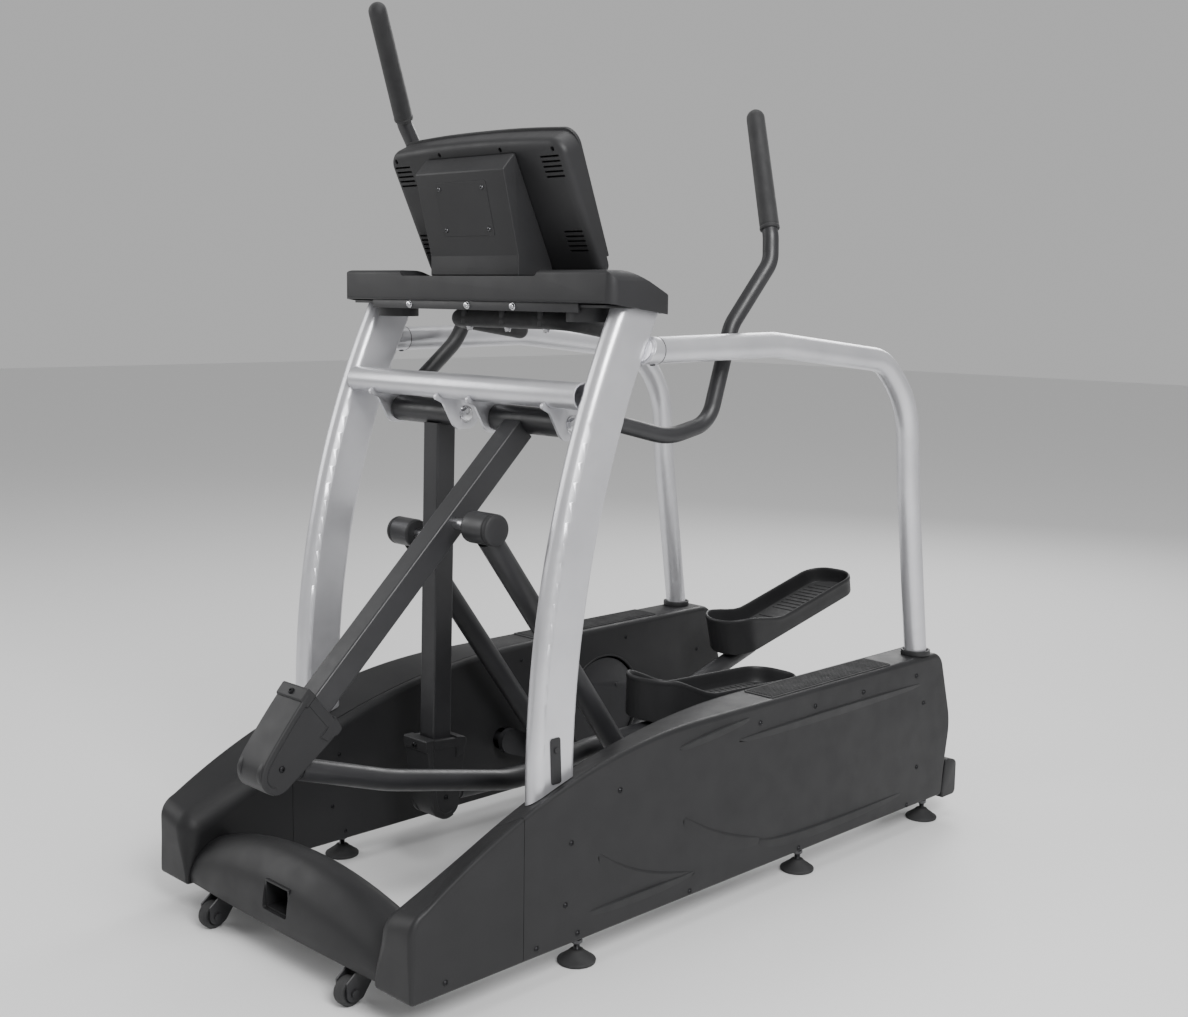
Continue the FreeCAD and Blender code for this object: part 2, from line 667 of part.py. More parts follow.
def console_solid(name, grow, back, front_top, front_low, low, high):
    corners = [console_point(back, low), console_point(back, high), console_point(front_top, high + 4),
               console_point(front_low, low + 2)]
    radii = (6, 12, 8, 4)
    return plate(name, [(y, z, r) for (y, z), r in zip(corners, radii)], -size("console_half") - grow,
                 2 * (size("console_half") + grow))


def build_console():
    hull = console_solid("console_hull", 0.0, 0.0, 46.0, 26.0, 0.0, 246.0)
    room = console_solid("console_room", -4.0, 4.0, 70.0, 60.0, 4.0, 241.0)
    keep("console_back", cut("console_back", hull, room))

    face = plate("bezel_hull", [(y, z, 2) for y, z in (
        console_point(46.3, 250.0), console_point(52.3, 250.0), console_point(32.3, 2.0),
        console_point(26.3, 2.0))], -size("console_half"), 2 * size("console_half"))
    lean = math.radians(LEAN)
    outwards = Vector(0, math.cos(lean), math.sin(lean))
    key_spots = []
    for index in range(4):
        y, z = console_point(30.5, 34.0)
        key_spots.append((-90 + 60 * index, y, z))
    holes = [cylinder(f"key_hole_{i}", "Dims.key_size / 2 + 0.6", 60, tuple(Vector(*p) - outwards * 30),
                      tuple(outwards)) for i, p in enumerate(key_spots)]
    window = slab("screen_window", size("screen_half") + 0.5, 20.0, 80.0, 68.0, 222.0)
    keep("console_bezel", cut("console_bezel", face, fuse("bezel_holes", holes + [window])))
    keep("console_screen", slab("console_screen", size("screen_half"), 34.0, 37.0, 69.0, 221.0))
    for i, p in enumerate(key_spots):
        cap = cylinder(f"key_cap_{i}", "Dims.key_size / 2", 13.0, tuple(Vector(*p) - outwards * 7),
                       tuple(outwards))
        keep(f"console_key_{i + 1}", cap)

    # the neck: a raised cover on the console's back that comes down onto the tray
    outline = [(-334, 1238.4, 3), (-334, 1276, 8), (-373, 1430, 6)]
    outline += [(*console_point(-0.4, 222.0), 4), (*console_point(-0.4, 2.0), 4), (-240, 1238.4, 3)]
    keep("console_neck", plate("console_neck", outline, -127.5, 255.0))


# ---------------------------------------------------------------- moving parts
def build_rockers():
    """Rocker, pivot tube, boot, hub pin and handle of each side, drawn hanging straight down."""
    pivot = (size("pivot_rear"), size("pivot_high"))
    for tag, side in SIDES:
        ahead = SWING_FRONT if side > 0 else SWING_REAR
        turn = -ahead
        py, pz = pivot
        x = side * size("rocker_place")
        half, core = size("rocker_size") / 2, size("rocker_bore") / 2
        start, wide = span(side, 52, 248)
        barrel = ring("pivot_tube_ring_" + tag, 26.0, "Dims.pivot_pin / 2 + Dims.pivot_clear", wide,
                      (start, py, pz), (1, 0, 0))
        keep("pivot_tube_" + tag, barrel, turn, pivot)
        top, low = pz - 22, pz - 820
        arm_hull = rounded_box("arm_hull_" + tag, (x - half, py - half, low), (x + half, py + half, top), 4)
        arm_core = rounded_box("arm_core_" + tag, (x - core, py - core, low - 1), (x + core, py + core,
                               top - 20), 2)
        room = cylinder("arm_room_" + tag, 26.2, 100, (x - 50, py, pz), (1, 0, 0))
        ends = [cylinder(f"arm_pin_{i}_{tag}", 10.0, 200, (x - 100, py, pz - size(drop)), (1, 0, 0))
                for i, drop in enumerate(("hub_drop", "boot_drop"))]
        slot = box("arm_slot_" + tag, (x - 18.5, py - 30, low - 5), (x + 18.5, py + 30,
                   pz - size("boot_drop") + 62))
        keep("rocker_arm_" + tag, cut("rocker_arm_cut_" + tag, cut("arm_tube_" + tag, arm_hull, arm_core),
                                      fuse("arm_rooms_" + tag, [room, slot] + ends)), turn, pivot)

        # boot: a two-cheek moulded cover round the lower pin, open below and behind for the foot link
        cheeks = []
        for place, near, wall in (("in", 23.4, 15.0), ("out", 23.4, 15.0)):
            outline = [(py - 60, pz - 668, 12), (py - 34, pz - 862, 30), (py + 30, pz - 862, 30),
                       (py + 62, pz - 682, 14)]
            sign = -1 if place == "in" else 1
            low_x = x + near if sign > 0 else x - near - wall
            cheeks.append(plate(f"boot_{place}_{tag}", outline, low_x, wall))
        nose = plate("boot_nose_" + tag, [(py - 59, pz - 670, 2), (py - 38, pz - 830, 2),
                                          (py - 29, pz - 830, 2), (py - 29, pz - 670, 2)], x - 24, 48)
        heel = plate("boot_heel_" + tag, [(py + 25, pz - 684, 2), (py + 25, pz - 712, 2),
                                          (py + 51, pz - 712, 2), (py + 56, pz - 684, 2)], x - 24, 48)
        holes = cylinder("boot_hole_" + tag, 10.2, 120, (x - 60, py, pz - size("boot_drop")), (1, 0, 0))
        keep("boot_cover_" + tag, cut("boot_cover_" + tag, fuse("boot_" + tag, cheeks + [nose, heel]),
                                      holes), turn, pivot)
        pin = cylinder("boot_pin_" + tag, 10.0, 60, (x - 30, py, pz - size("boot_drop")), (1, 0, 0))
        start, wide = span(side, 125 - 23.2, 250)
        hub = cylinder("hub_pin_rod_" + tag, 10.0, wide, (start, py, pz - size("hub_drop")), (1, 0, 0))
        cap_start = 250.4 if side > 0 else -253.4
        cap = cylinder("hub_cap_" + tag, 24.0, 3.0, (cap_start, py, pz - size("hub_drop")), (1, 0, 0))
        keep("rocker_pins_" + tag, group("rocker_pins_" + tag, [pin, hub, cap]), turn, pivot)
        build_handle(tag, side, turn, pivot)


def handle_points(side):
    """The handle's route in the bench frame, drawn as it stands on the right side at rest."""
    return [(side * 214, -313, 971), (side * 236, -262, 985), (side * 290, -90, 938), (side * 301, 14, 962),
            (side * 308, 66, 1150), (side * 340, 143, 1275), (side * 333, 150, 1325)]


def build_handle(tag, side, turn, pivot):
    turn += SWING_FRONT
    route_points = handle_points(side)
    low, high = Vector(*route_points[-1]), Vector(side * 246.5, 198, 1560)
    along = (high - low).normalize()
    points = route_points + [tuple(high - along * 8)]
    whole = tube("handle_" + tag, points, [40, 120, 60, 90, 60, 55], "handle_size", 26.0)
    room = cylinder("handle_room_" + tag, 26.2, 120, (side * 214 - 60, -313, 971), (1, 0, 0))
    keep("handle_tube_" + tag, cut("handle_cut_" + tag, whole, room), turn, pivot)
    base = low + along * 14
    length = (high - base).Length
    outside = cylinder("grip_out_" + tag, "Dims.grip_size / 2", length, tuple(base), tuple(along))
    dome = doc.addObject("Part::Sphere", "grip_dome_" + tag)
    dome.setExpression("Radius", "Dims.grip_size / 2")
    dome.Placement = Placement(high, Rotation())
    inside = cylinder("grip_in_" + tag, "Dims.handle_size / 2 + 0.1", length, tuple(base - along * 1),
                      tuple(along))
    grip = cut("grip_" + tag, fuse("grip_form_" + tag, [outside, dome]), inside)
    keep("handle_grip_" + tag, grip, turn, pivot)


def swung(side, drop):
    """(y, z) of a point of the rocker's middle line, at rest on one side."""
    angle = math.radians(SWING_FRONT if side > 0 else SWING_REAR)
    return (size("pivot_rear") - drop * math.sin(angle), size("pivot_high") - drop * math.cos(angle))


def build_rods():
    """Drive rods from the rockers' hubs down to the crank pins, drawn upright below their hub."""
    for tag, side in SIDES:
        hub = swung(side, size("hub_drop"))
        hy, hz = hub
        x = side * size("hub_place")
        eye_low, eye_wide = span(side, 196, 246)
        length = size("rod_length")
        eye = ring("rod_eye_" + tag, 29.0, 14.0, eye_wide, (eye_low, hy, hz), (1, 0, 0))
        big = ring("rod_big_" + tag, 29.0, 14.0, 34, (x - 17, hy, hz - length), (1, 0, 0))
        shank = ring("rod_shank_" + tag, "Dims.rod_size / 2", "Dims.rod_size / 2 - 3", length - 50,
                     (x, hy, hz - length + 25))
        rooms = [cylinder(f"rod_room_{i}_{tag}", 14.0, 80, (x - 40, hy, hz - drop), (1, 0, 0))
                 for i, drop in enumerate((0, length))]
        rod = cut("rod_" + tag, fuse("rod_form_" + tag, [eye, big, shank]), fuse("rod_rooms_" + tag, rooms))
        pieces = [rod]
        for i, near in enumerate((-24, 10)):
            pieces.append(ring(f"rod_bush_{i}_{tag}", 14.0, 10.05, 12, (x + near, hy, hz), (1, 0, 0)))
        # the crank's pin is held in the rod's big end and stops just short of the crank's arm
        pieces.append(ring("rod_bearing_" + tag, 14.0, 9.0, 34, (x - 17, hy, hz - length), (1, 0, 0)))
        low, wide = span(side, 203, 261.6)
        pieces.append(cylinder("rod_pin_" + tag, 9.0, wide, (low, hy, hz - length), (1, 0, 0)))
        keep("drive_rod_" + tag, group("drive_rod_" + tag, pieces), size("rod_lean"), hub)


def build_links():
    """Foot links with their pedals, drawn with the pedal level and the front pin at the boot."""
    for tag, side in SIDES:
        pin = swung(side, size("boot_drop"))
        slope = LINK_FRONT if side > 0 else LINK_REAR
        py, pz = pin
        x = side * size("link_place")
        rear_x = side * (size("link_place") - 6)
        # a slim neck passes through the rocker's slot; the full tube starts behind it
        points = [(x, py + 58, pz - 18), (x, py + 250, pz - 72), (rear_x, py + 560, pz - 128),
                  (rear_x, py + 760, pz - 96), (rear_x, py + 1020, pz - 83)]
        run = tube("link_run_" + tag, points, [600, 240, 200], "link_size", 34.0)
        neck = cylinder("link_neck_" + tag, size("link_neck"), 70, (x, py + 8, pz - 4), (0, 0.963, -0.27))
        eye = ring("link_eye_" + tag, 21.0, 10.05, 34, (x - 17, py, pz), (1, 0, 0))
        room = cylinder("link_room_" + tag, 10.05, 60, (x - 30, py, pz), (1, 0, 0))
        keep("foot_link_" + tag, cut("foot_link_" + tag, fuse("link_form_" + tag, [run, neck, eye]), room),
             slope, pin)

        px = side * size("pedal_place")
        half, toe = size("pedal_width") / 2, py + 905.0
        heel, floor = toe + size("pedal_length"), pz - 60.0
        tray = body("pedal_" + tag)
        drawn = sketch(tray, "XY_Plane", f"pedal_{tag}_plan", floor)
        drawn.addGeometry(rounded([(px - half + 4, toe, 66), (px - half, heel, 60), (px + half, heel, 60),
                                   (px + half - 4, toe, 66)]), False)
        pad(tray, drawn, "Dims.pedal_toe")
        inner = sketch(tray, "XY_Plane", f"pedal_{tag}_well", floor + 9)
        inner.addGeometry(rounded([(px - half + 11, toe + 7, 59), (px - half + 7, heel - 7, 53),
                                   (px + half - 7, heel - 7, 53), (px + half - 11, toe + 7, 59)]), False)
        pocket(tray, inner, 200.0, reverse=True)
        top = floor + size("pedal_toe")
        rim = floor + size("pedal_heel")
        side_cut = sketch(tray, "YZ_Plane", f"pedal_{tag}_side", px)
        side_cut.addGeometry(rounded([(toe - 30, top + 60, 0), (toe - 30, top - 2, 0),
                                      (toe + 60, top - 8, 90), (toe + 170, rim + 8, 160),
                                      (heel + 30, rim, 0), (heel + 30, top + 60, 0)]), False)
        pocket(tray, side_cut, 400.0, middle=True)
        keep("pedal_" + tag, tray, slope, pin)


PULLEY = 92.0                     # radii of the belt's two pulleys
SHEAVE = 40.0


def build_cranks():
    """Crank, pulley and disc of each side inside the pods, with the crank's belt."""
    cy, cz = size("crank_rear"), size("crank_high")
    dy, dz = size("disc_rear"), size("disc_high")
    throw = size("crank_throw")
    belts, bearings = [], []
    for tag, side in SIDES:
        hub = swung(side, size("hub_drop"))
        lean = math.radians(size("rod_lean"))
        end = (hub[0] + size("rod_length") * math.sin(lean), hub[1] - size("rod_length") * math.cos(lean))
        angle = math.degrees(math.atan2(end[1] - cz, end[0] - cy))
        low, wide = span(side, 262, 276)
        arm = plate("crank_plate_" + tag, [(cy - 30, cz - 30, 29), (cy + throw + 24, cz - 22, 21),
                                           (cy + throw + 24, cz + 22, 21), (cy - 30, cz + 30, 29)], low, wide)
        start, length = span(side, 264, 390)
        shaft = cylinder("crank_shaft_" + tag, 12.0, length, (start, cy, cz), (1, 0, 0))
        low, wide = span(side, 326, 344)
        pulley = cylinder("pulley_" + tag, PULLEY, wide, (low, cy, cz), (1, 0, 0))
        keep("crank_" + tag, fuse("crank_" + tag, [arm, shaft, pulley]), angle, (cy, cz))
        low, wide = span(side, 304, 318)
        face = cylinder("disc_face_" + tag, "Dims.disc_size / 2", 8, (low if side > 0 else low + 6, dy, dz),
                        (1, 0, 0))
        start, length = span(side, 306, 390)
        stub = cylinder("disc_stub_" + tag, 12.0, length, (start, dy, dz), (1, 0, 0))
        low, wide = span(side, 326, 344)
        wheel = cylinder("disc_wheel_" + tag, SHEAVE, wide, (low, dy, dz), (1, 0, 0))
        flange_low, flange_wide = span(side, 346, 362)
        heavy = cylinder("flywheel_" + tag, 105.0, flange_wide, (flange_low, dy, dz), (1, 0, 0))
        bolt = cylinder("disc_bolt_" + tag, 7.0, 4, (side * 304 - (4 if side > 0 else 0), dy + 50, dz + 43),
                        (1, 0, 0))
        keep("drive_disc_" + tag, fuse("drive_disc_" + tag, [face, stub, wheel, heavy, bolt]))

        # belt round the crank's pulley and the disc's small wheel, with running room
        big, small = PULLEY + 0.6, SHEAVE + 0.6
        reach = math.hypot(dy - cy, dz - cz)
        tilt = math.degrees(math.atan2(dz - cz, dy - cy))

        def loop(label, grow):
            lean_of = math.asin((big - small) / reach)
            r1, r2 = big + grow, small + grow
            c, s = math.sin(lean_of), math.cos(lean_of)
            a, b = Vector(r1 * c, r1 * s, 0), Vector(reach + r2 * c, r2 * s, 0)
            d, e = Vector(reach + r2 * c, -r2 * s, 0), Vector(r1 * c, -r1 * s, 0)
            edges = [Part.LineSegment(a, b), Part.Arc(b, Vector(reach + r2, 0, 0), d),
                     Part.LineSegment(d, e), Part.Arc(e, Vector(-r1, 0, 0), a)]
            made = body(label)
            drawn = sketch(made, "YZ_Plane", label + "_sketch", span(side, 328, 342)[0])
            drawn.addGeometry(edges, False)
            pad(made, drawn, 14.0)
            made.Placement = Placement(Vector(0, cy, cz), Rotation(Vector(1, 0, 0), tilt))
            return made

        belts.append(cut("belt_" + tag, loop("belt_out_" + tag, 4.0), loop("belt_in_" + tag, 0.0)))
        for part, y, z in (("crank", cy, cz), ("disc", dy, dz)):
            low, wide = span(side, 366, 392)
            stand = box(f"bearing_stand_{part}_{tag}", (low, y - 20, RAIL_TOP + 0.2), (low + wide, y + 20, z))
            round_part = cylinder(f"bearing_round_{part}_{tag}", 22.0, wide, (low, y, z), (1, 0, 0))
            bore = cylinder(f"bearing_bore_{part}_{tag}", 12.05, wide, (low, y, z), (1, 0, 0))
            bearings.append(cut(f"bearing_{part}_{tag}", fuse(f"bearing_form_{part}_{tag}",
                                                              [stand, round_part]), bore))
    keep("drive_belts", group("drive_belts", belts))
    keep("shaft_bearings", group("shaft_bearings", bearings))


def build_screws():
    """The screws of the pods' outer covers, the tray's front bolts and the handlebar's clamp bolts."""
    outer = [(-728, 81), (-524, 77), (-424, 76), (-455, 137), (-442, 248), (-320, 317), (-122, 70),
             (221, 69), (81, 365), (262, 366), (434, 365), (639, 366), (673, 297), (656, 150), (622, 68)]
    heads = []
    for tag, side in SIDES:
        for i, (y, z) in enumerate(outer):
            heads.append(cylinder(f"cover_screw_{i}_{tag}", 4.5, 2.2, (side * 400.1, y, z), (side, 0, 0)))
    for i, x in enumerate((-178, -2, 128)):
        heads.append(cylinder(f"tray_bolt_{i}", 5.5, 5.0, (x, -346.1, 1182.5), (0, -1, 0)))
    for i, x in enumerate(CLAMPS):
        heads.append(cylinder(f"hanger_bolt_{i}", 5.0, 5.0, (x, -246, 1145.9), (0, 0, -1)))
    keep("screws", group("screws", heads))


# ---------------------------------------------------------------- build, check, write
pod_rooms = build_pods()
build_base(pod_rooms)
build_uprights(pod_rooms)
build_handrails()
build_tray()
build_console()
build_rockers()
build_rods()
build_links()
build_cranks()
build_screws()
doc.recompute()

for item in doc.Objects:
    if "Invalid" in item.State or "Error" in item.State:
        raise SystemExit(f"{item.Name} failed: {item.State}")
whole = FreeCAD.BoundBox()
for name, item in nodes.items():
    if item.Shape.isNull() or not item.Shape.isValid() or not item.Shape.Solids:
        raise SystemExit(f"{name} has no valid solid")
    whole.add(item.Shape.BoundBox)

os.makedirs("parts", exist_ok=True)
for name, item in nodes.items():
    item.Shape.exportStep(f"parts/{name}.step")
print(f"{len(nodes)} nodes, box {whole}")
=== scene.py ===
import json
import math

import bmesh
import bpy
from mathutils import Matrix, Vector


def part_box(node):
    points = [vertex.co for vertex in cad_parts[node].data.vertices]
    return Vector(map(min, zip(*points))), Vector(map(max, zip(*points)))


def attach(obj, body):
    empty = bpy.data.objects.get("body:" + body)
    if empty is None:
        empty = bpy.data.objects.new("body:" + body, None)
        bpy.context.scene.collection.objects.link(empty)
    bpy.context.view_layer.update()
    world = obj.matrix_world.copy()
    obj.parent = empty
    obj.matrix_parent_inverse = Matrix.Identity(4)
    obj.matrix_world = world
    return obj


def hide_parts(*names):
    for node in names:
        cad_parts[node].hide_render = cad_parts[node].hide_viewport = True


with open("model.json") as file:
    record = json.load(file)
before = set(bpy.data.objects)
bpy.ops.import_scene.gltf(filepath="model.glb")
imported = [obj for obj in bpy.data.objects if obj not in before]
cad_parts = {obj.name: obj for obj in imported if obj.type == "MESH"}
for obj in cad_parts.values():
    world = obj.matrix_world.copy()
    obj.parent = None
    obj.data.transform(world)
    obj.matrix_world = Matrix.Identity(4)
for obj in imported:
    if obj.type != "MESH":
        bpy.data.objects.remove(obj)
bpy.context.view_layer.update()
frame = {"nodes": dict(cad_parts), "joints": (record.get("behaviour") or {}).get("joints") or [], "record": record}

NODES = frame["nodes"]
JOINTS = {joint["name"]: joint for joint in frame["joints"]}
NODE_BODY = {node: body for body, names in frame["record"]["behaviour"]["bodies"].items() for node in names}
NODE_SLOT = {part["node"]: part["material_slot"] for part in frame["record"]["subparts"]}
SIDES = (("r", 1), ("l", -1))
MM = 0.001
X_AXIS, Z_AXIS = Vector((1, 0, 0)), Vector((0, 0, 1))

# Places are given in a bench frame whose Y zero lies over the crank area; SHIFT takes them to the row frame.
BENCH_PIVOT_Y = -0.313
PIVOT = Vector(JOINTS["rocker_r_swing"]["pos_m"])
SHIFT = PIVOT.y - BENCH_PIVOT_Y


# ---------------------------------------------------------------- materials
def new_material(name, color, rough, metallic=0.0, specular=0.5, coat=0.0, coat_rough=0.1):
    """A Principled material whose plain numbers sit on the shader's own sockets."""
    made = bpy.data.materials.new(name)
    made.use_nodes = True
    shader = made.node_tree.nodes["Principled BSDF"]
    shader.inputs["Base Color"].default_value = (*color, 1.0)
    shader.inputs["Roughness"].default_value = rough
    shader.inputs["Metallic"].default_value = metallic
    shader.inputs["Specular IOR Level"].default_value = specular
    shader.inputs["Coat Weight"].default_value = coat
    shader.inputs["Coat Roughness"].default_value = coat_rough
    return made


def place_node(material, kind, **values):
    node = material.node_tree.nodes.new(kind)
    for key, value in values.items():
        setattr(node, key, value)
    return node


def link(material, source, target):
    material.node_tree.links.new(source, target)


def noise(material, scale, detail=2.0, stretch=None):
    """Noise over the object's own coordinates; scale counts features per metre."""
    coordinates = place_node(material, "ShaderNodeTexCoord")
    made = place_node(material, "ShaderNodeTexNoise")
    made.inputs["Scale"].default_value = scale
    made.inputs["Detail"].default_value = detail
    source = coordinates.outputs["Object"]
    if stretch:
        mapping = place_node(material, "ShaderNodeMapping")
        mapping.inputs["Scale"].default_value = stretch
        link(material, source, mapping.inputs["Vector"])
        source = mapping.outputs["Vector"]
    link(material, source, made.inputs["Vector"])
    return made.outputs["Fac"]


def cells(material, scale):
    """Rounded cells, used for moulded grain."""
    coordinates = place_node(material, "ShaderNodeTexCoord")
    made = place_node(material, "ShaderNodeTexVoronoi")
    made.inputs["Scale"].default_value = scale
    link(material, coordinates.outputs["Object"], made.inputs["Vector"])
    return made.outputs["Distance"]


def ramp(material, source, stops):
    made = place_node(material, "ShaderNodeValToRGB")
    elements = made.color_ramp.elements
    while len(elements) < len(stops):
        elements.new(0.5)
    for element, (position, color) in zip(elements, stops):
        element.position = position
        element.color = (*color, 1.0)
    link(material, source, made.inputs["Fac"])
    return made.outputs["Color"]


def remap(material, source, low, high, out_low, out_high):
    made = place_node(material, "ShaderNodeMapRange")
    for key, value in (("From Min", low), ("From Max", high), ("To Min", out_low), ("To Max", out_high)):
        made.inputs[key].default_value = value
    link(material, source, made.inputs["Value"])
    return made.outputs["Result"]


def bump(material, heights, distances):
    """Stacks bump from several heights; each distance is in metres."""
    shader = material.node_tree.nodes["Principled BSDF"]
    normal = None
    for height, distance in zip(heights, distances):
        made = place_node(material, "ShaderNodeBump")
        made.inputs["Strength"].default_value = 1.0
        made.inputs["Distance"].default_value = distance
        link(material, height, made.inputs["Height"])
        if normal:
            link(material, normal, made.inputs["Normal"])
        normal = made.outputs["Normal"]
    link(material, normal, shader.inputs["Normal"])


def tint(material, source, dark, light):
    """Slow colour variation between two close colours."""
    shader = material.node_tree.nodes["Principled BSDF"]
    link(material, ramp(material, source, [(0.3, dark), (0.7, light)]), shader.inputs["Base Color"])


def vary_rough(material, source, low, high):
    shader = material.node_tree.nodes["Principled BSDF"]
    link(material, remap(material, source, 0.3, 0.7, low, high), shader.inputs["Roughness"])


def moulded_plastic(name, dark, light, grain=1400.0, rough=(0.42, 0.52)):
    """Injection-moulded plastic: leather-like fine grain, slow blotches and a few rubbed patches."""
    made = new_material(name, light, sum(rough) / 2, specular=0.3)
    blotch = noise(made, 6.0, 4.0)
    tint(made, blotch, dark, light)
    vary_rough(made, noise(made, 22.0, 5.0), *rough)
    bump(made, [cells(made, grain), noise(made, grain * 2.1, 3.0)], [0.00006, 0.00003])
    return made


def powder_coat(name, dark, light, rough=(0.34, 0.42), metallic=0.0, coat=0.0):
    """Powder-coated steel: orange peel at millimetre scale and very fine speckle."""
    made = new_material(name, light, sum(rough) / 2, metallic=metallic, coat=coat, coat_rough=0.25)
    tint(made, noise(made, 9.0, 4.0), dark, light)
    vary_rough(made, noise(made, 60.0, 3.0), *rough)
    bump(made, [noise(made, 520.0, 2.0), noise(made, 2600.0, 2.0)], [0.00005, 0.0000175])
    return made


def turned_metal(name, color, rough):
    """Turned or plated metal with fine directional scratches."""
    made = new_material(name, color, rough, metallic=1.0)
    vary_rough(made, noise(made, 220.0, 3.0, stretch=(0.15, 1.0, 1.0)), rough * 0.75, rough * 1.35)
    bump(made, [noise(made, 1500.0, 2.0, stretch=(0.1, 1.0, 1.0))], [0.00001])
    return made


def foam_rubber():
    """Dipped foam for the hand grips: soft sheen, fine pores."""
    made = new_material("grip_foam", (0.016, 0.016, 0.017), 0.62, specular=0.35)
    shader = made.node_tree.nodes["Principled BSDF"]
    shader.inputs["Sheen Weight"].default_value = 0.15
    shader.inputs["Sheen Roughness"].default_value = 0.5
    tint(made, noise(made, 30.0, 4.0), (0.012, 0.012, 0.013), (0.02, 0.02, 0.021))
    vary_rough(made, noise(made, 90.0, 4.0), 0.55, 0.7)
    bump(made, [noise(made, 900.0, 4.0), cells(made, 2200.0)], [0.00016, 0.00006])
    return made


def tread_rubber():
    """Moulded rubber for treads, feet and tyres."""
    made = new_material("tread_rubber", (0.03, 0.03, 0.031), 0.75, specular=0.3)
    tint(made, noise(made, 25.0, 5.0), (0.024, 0.024, 0.025), (0.04, 0.04, 0.041))
    vary_rough(made, noise(made, 70.0, 3.0), 0.66, 0.84)
    bump(made, [cells(made, 1800.0)], [0.0001])
    return made


def dark_glass():
    made = new_material("screen_glass", (0.006, 0.007, 0.009), 0.06, specular=0.6, coat=0.6, coat_rough=0.03)
    vary_rough(made, noise(made, 14.0, 5.0), 0.05, 0.12)
    return made


CHARCOAL = ((0.0145, 0.0145, 0.0155), (0.019, 0.019, 0.020))
MATERIALS = {
    "silver_paint": powder_coat("silver_paint", (0.58, 0.58, 0.605), (0.66, 0.66, 0.685), rough=(0.30, 0.38),
                                metallic=0.7, coat=0.1),
    "dark_paint": powder_coat("dark_paint", (0.017, 0.017, 0.0185), (0.023, 0.023, 0.025),
                              rough=(0.36, 0.46)),
    "cover_plastic": moulded_plastic("cover_plastic", *CHARCOAL),
    "trim_plastic": moulded_plastic("trim_plastic", (0.019, 0.019, 0.020), (0.025, 0.025, 0.0265),
                                    grain=1700.0),
    "pedal_plastic": moulded_plastic("pedal_plastic", (0.015, 0.015, 0.016), (0.021, 0.021, 0.022),
                                     grain=1100.0, rough=(0.38, 0.5)),
    "pad_rubber": tread_rubber(),
    "grip_foam": foam_rubber(),
    "belt_rubber": new_material("belt_rubber", (0.02, 0.02, 0.02), 0.8),
    "bare_steel": turned_metal("bare_steel", (0.55, 0.55, 0.57), 0.3),
    "screw_chrome": turned_metal("screw_chrome", (0.72, 0.72, 0.74), 0.16),
    "screen_glass": dark_glass(),
}
MATERIALS["wheel_rubber"] = MATERIALS["pad_rubber"]
MATERIALS["dark_steel"] = turned_metal("dark_steel", (0.10, 0.10, 0.105), 0.35)
MATERIALS["black_screw"] = turned_metal("black_screw", (0.035, 0.035, 0.037), 0.4)


# ---------------------------------------------------------------- helpers: pieces
def finish_piece(piece, body, slot, material=None, replaces=()):
    piece.data.materials.clear()
    piece.data.materials.append(MATERIALS[material or slot])
    if replaces:
        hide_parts(*replaces)
    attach(piece, body)
    return piece


def link_object(name, mesh):
    made = bpy.data.objects.new(name, mesh)
    bpy.context.scene.collection.objects.link(made)
    return made


def smooth(piece, angle=35.0):
    """Smooth shading that stays crisp across edges sharper than angle."""
    mesh = piece.data
    mesh.shade_smooth()
    mesh.set_sharp_from_angle(angle=math.radians(angle))


def apply_modifiers(piece):
    """Bakes a piece's modifiers into its mesh."""
    bpy.context.view_layer.update()
    graph = bpy.context.evaluated_depsgraph_get()
    mesh = bpy.data.meshes.new_from_object(piece.evaluated_get(graph))
    old = piece.data
    piece.modifiers.clear()
    piece.data = mesh
    bpy.data.meshes.remove(old)


def soften(piece, width, segments=3, angle=32.0):
    """Rounds a piece's sharp edges."""
    made = piece.modifiers.new("edges", "BEVEL")
    made.width = width
    made.segments = segments
    made.limit_method = "ANGLE"
    made.angle_limit = math.radians(angle)
    made.use_clamp_overlap = True
    made.harden_normals = False
    apply_modifiers(piece)
    smooth(piece, 40.0)


# ---------------------------------------------------------------- helpers: shapes
def ease(value):
    """0 below 0, 1 above 1 and a smooth step between."""
    value = min(1.0, max(0.0, value))
    return value * value * (3.0 - 2.0 * value)


def rounded_path(corners, edge_steps=6):
    """A closed outline in millimetres with rounded corners; each corner is (a, b, radius)."""
    count = len(corners)
    corner_arcs = []
    for index, (a, b, radius) in enumerate(corners):
        here = Vector((a, b))
        before = Vector(corners[index - 1][:2]) - here
        after = Vector(corners[(index + 1) % count][:2]) - here
        half = before.angle(after) / 2
        reach = radius / math.tan(half)
        start, end = here + before.normalized() * reach, here + after.normalized() * reach
        middle = here + (before.normalized() + after.normalized()).normalized() * radius / math.sin(half)
        spread = (start - middle).angle_signed(end - middle) if radius > 0.01 else 0.0
        steps = 24 if radius > 400 else 8
        points = []
        for step in range(steps + 1):
            turn = -spread * step / steps
            arm = start - middle
            points.append(middle + Vector((arm.x * math.cos(turn) - arm.y * math.sin(turn),
                                           arm.x * math.sin(turn) + arm.y * math.cos(turn))))
        corner_arcs.append(points)
    path = []
    for index, points in enumerate(corner_arcs):
        path.extend(points)
        ahead = corner_arcs[(index + 1) % count][0]
        path.extend(points[-1].lerp(ahead, step / edge_steps) for step in range(1, edge_steps))
    return path


def path_normals(path):
    """Outward unit normals of a closed outline."""
    area = sum(path[i - 1].cross(path[i]) for i in range(len(path)))
    sign = 1.0 if area > 0 else -1.0
    normals = []
    for index in range(len(path)):
        along = (path[(index + 1) % len(path)] - path[index - 1]).normalized()
        normals.append(Vector((along.y, -along.x)) * sign)
    return normals


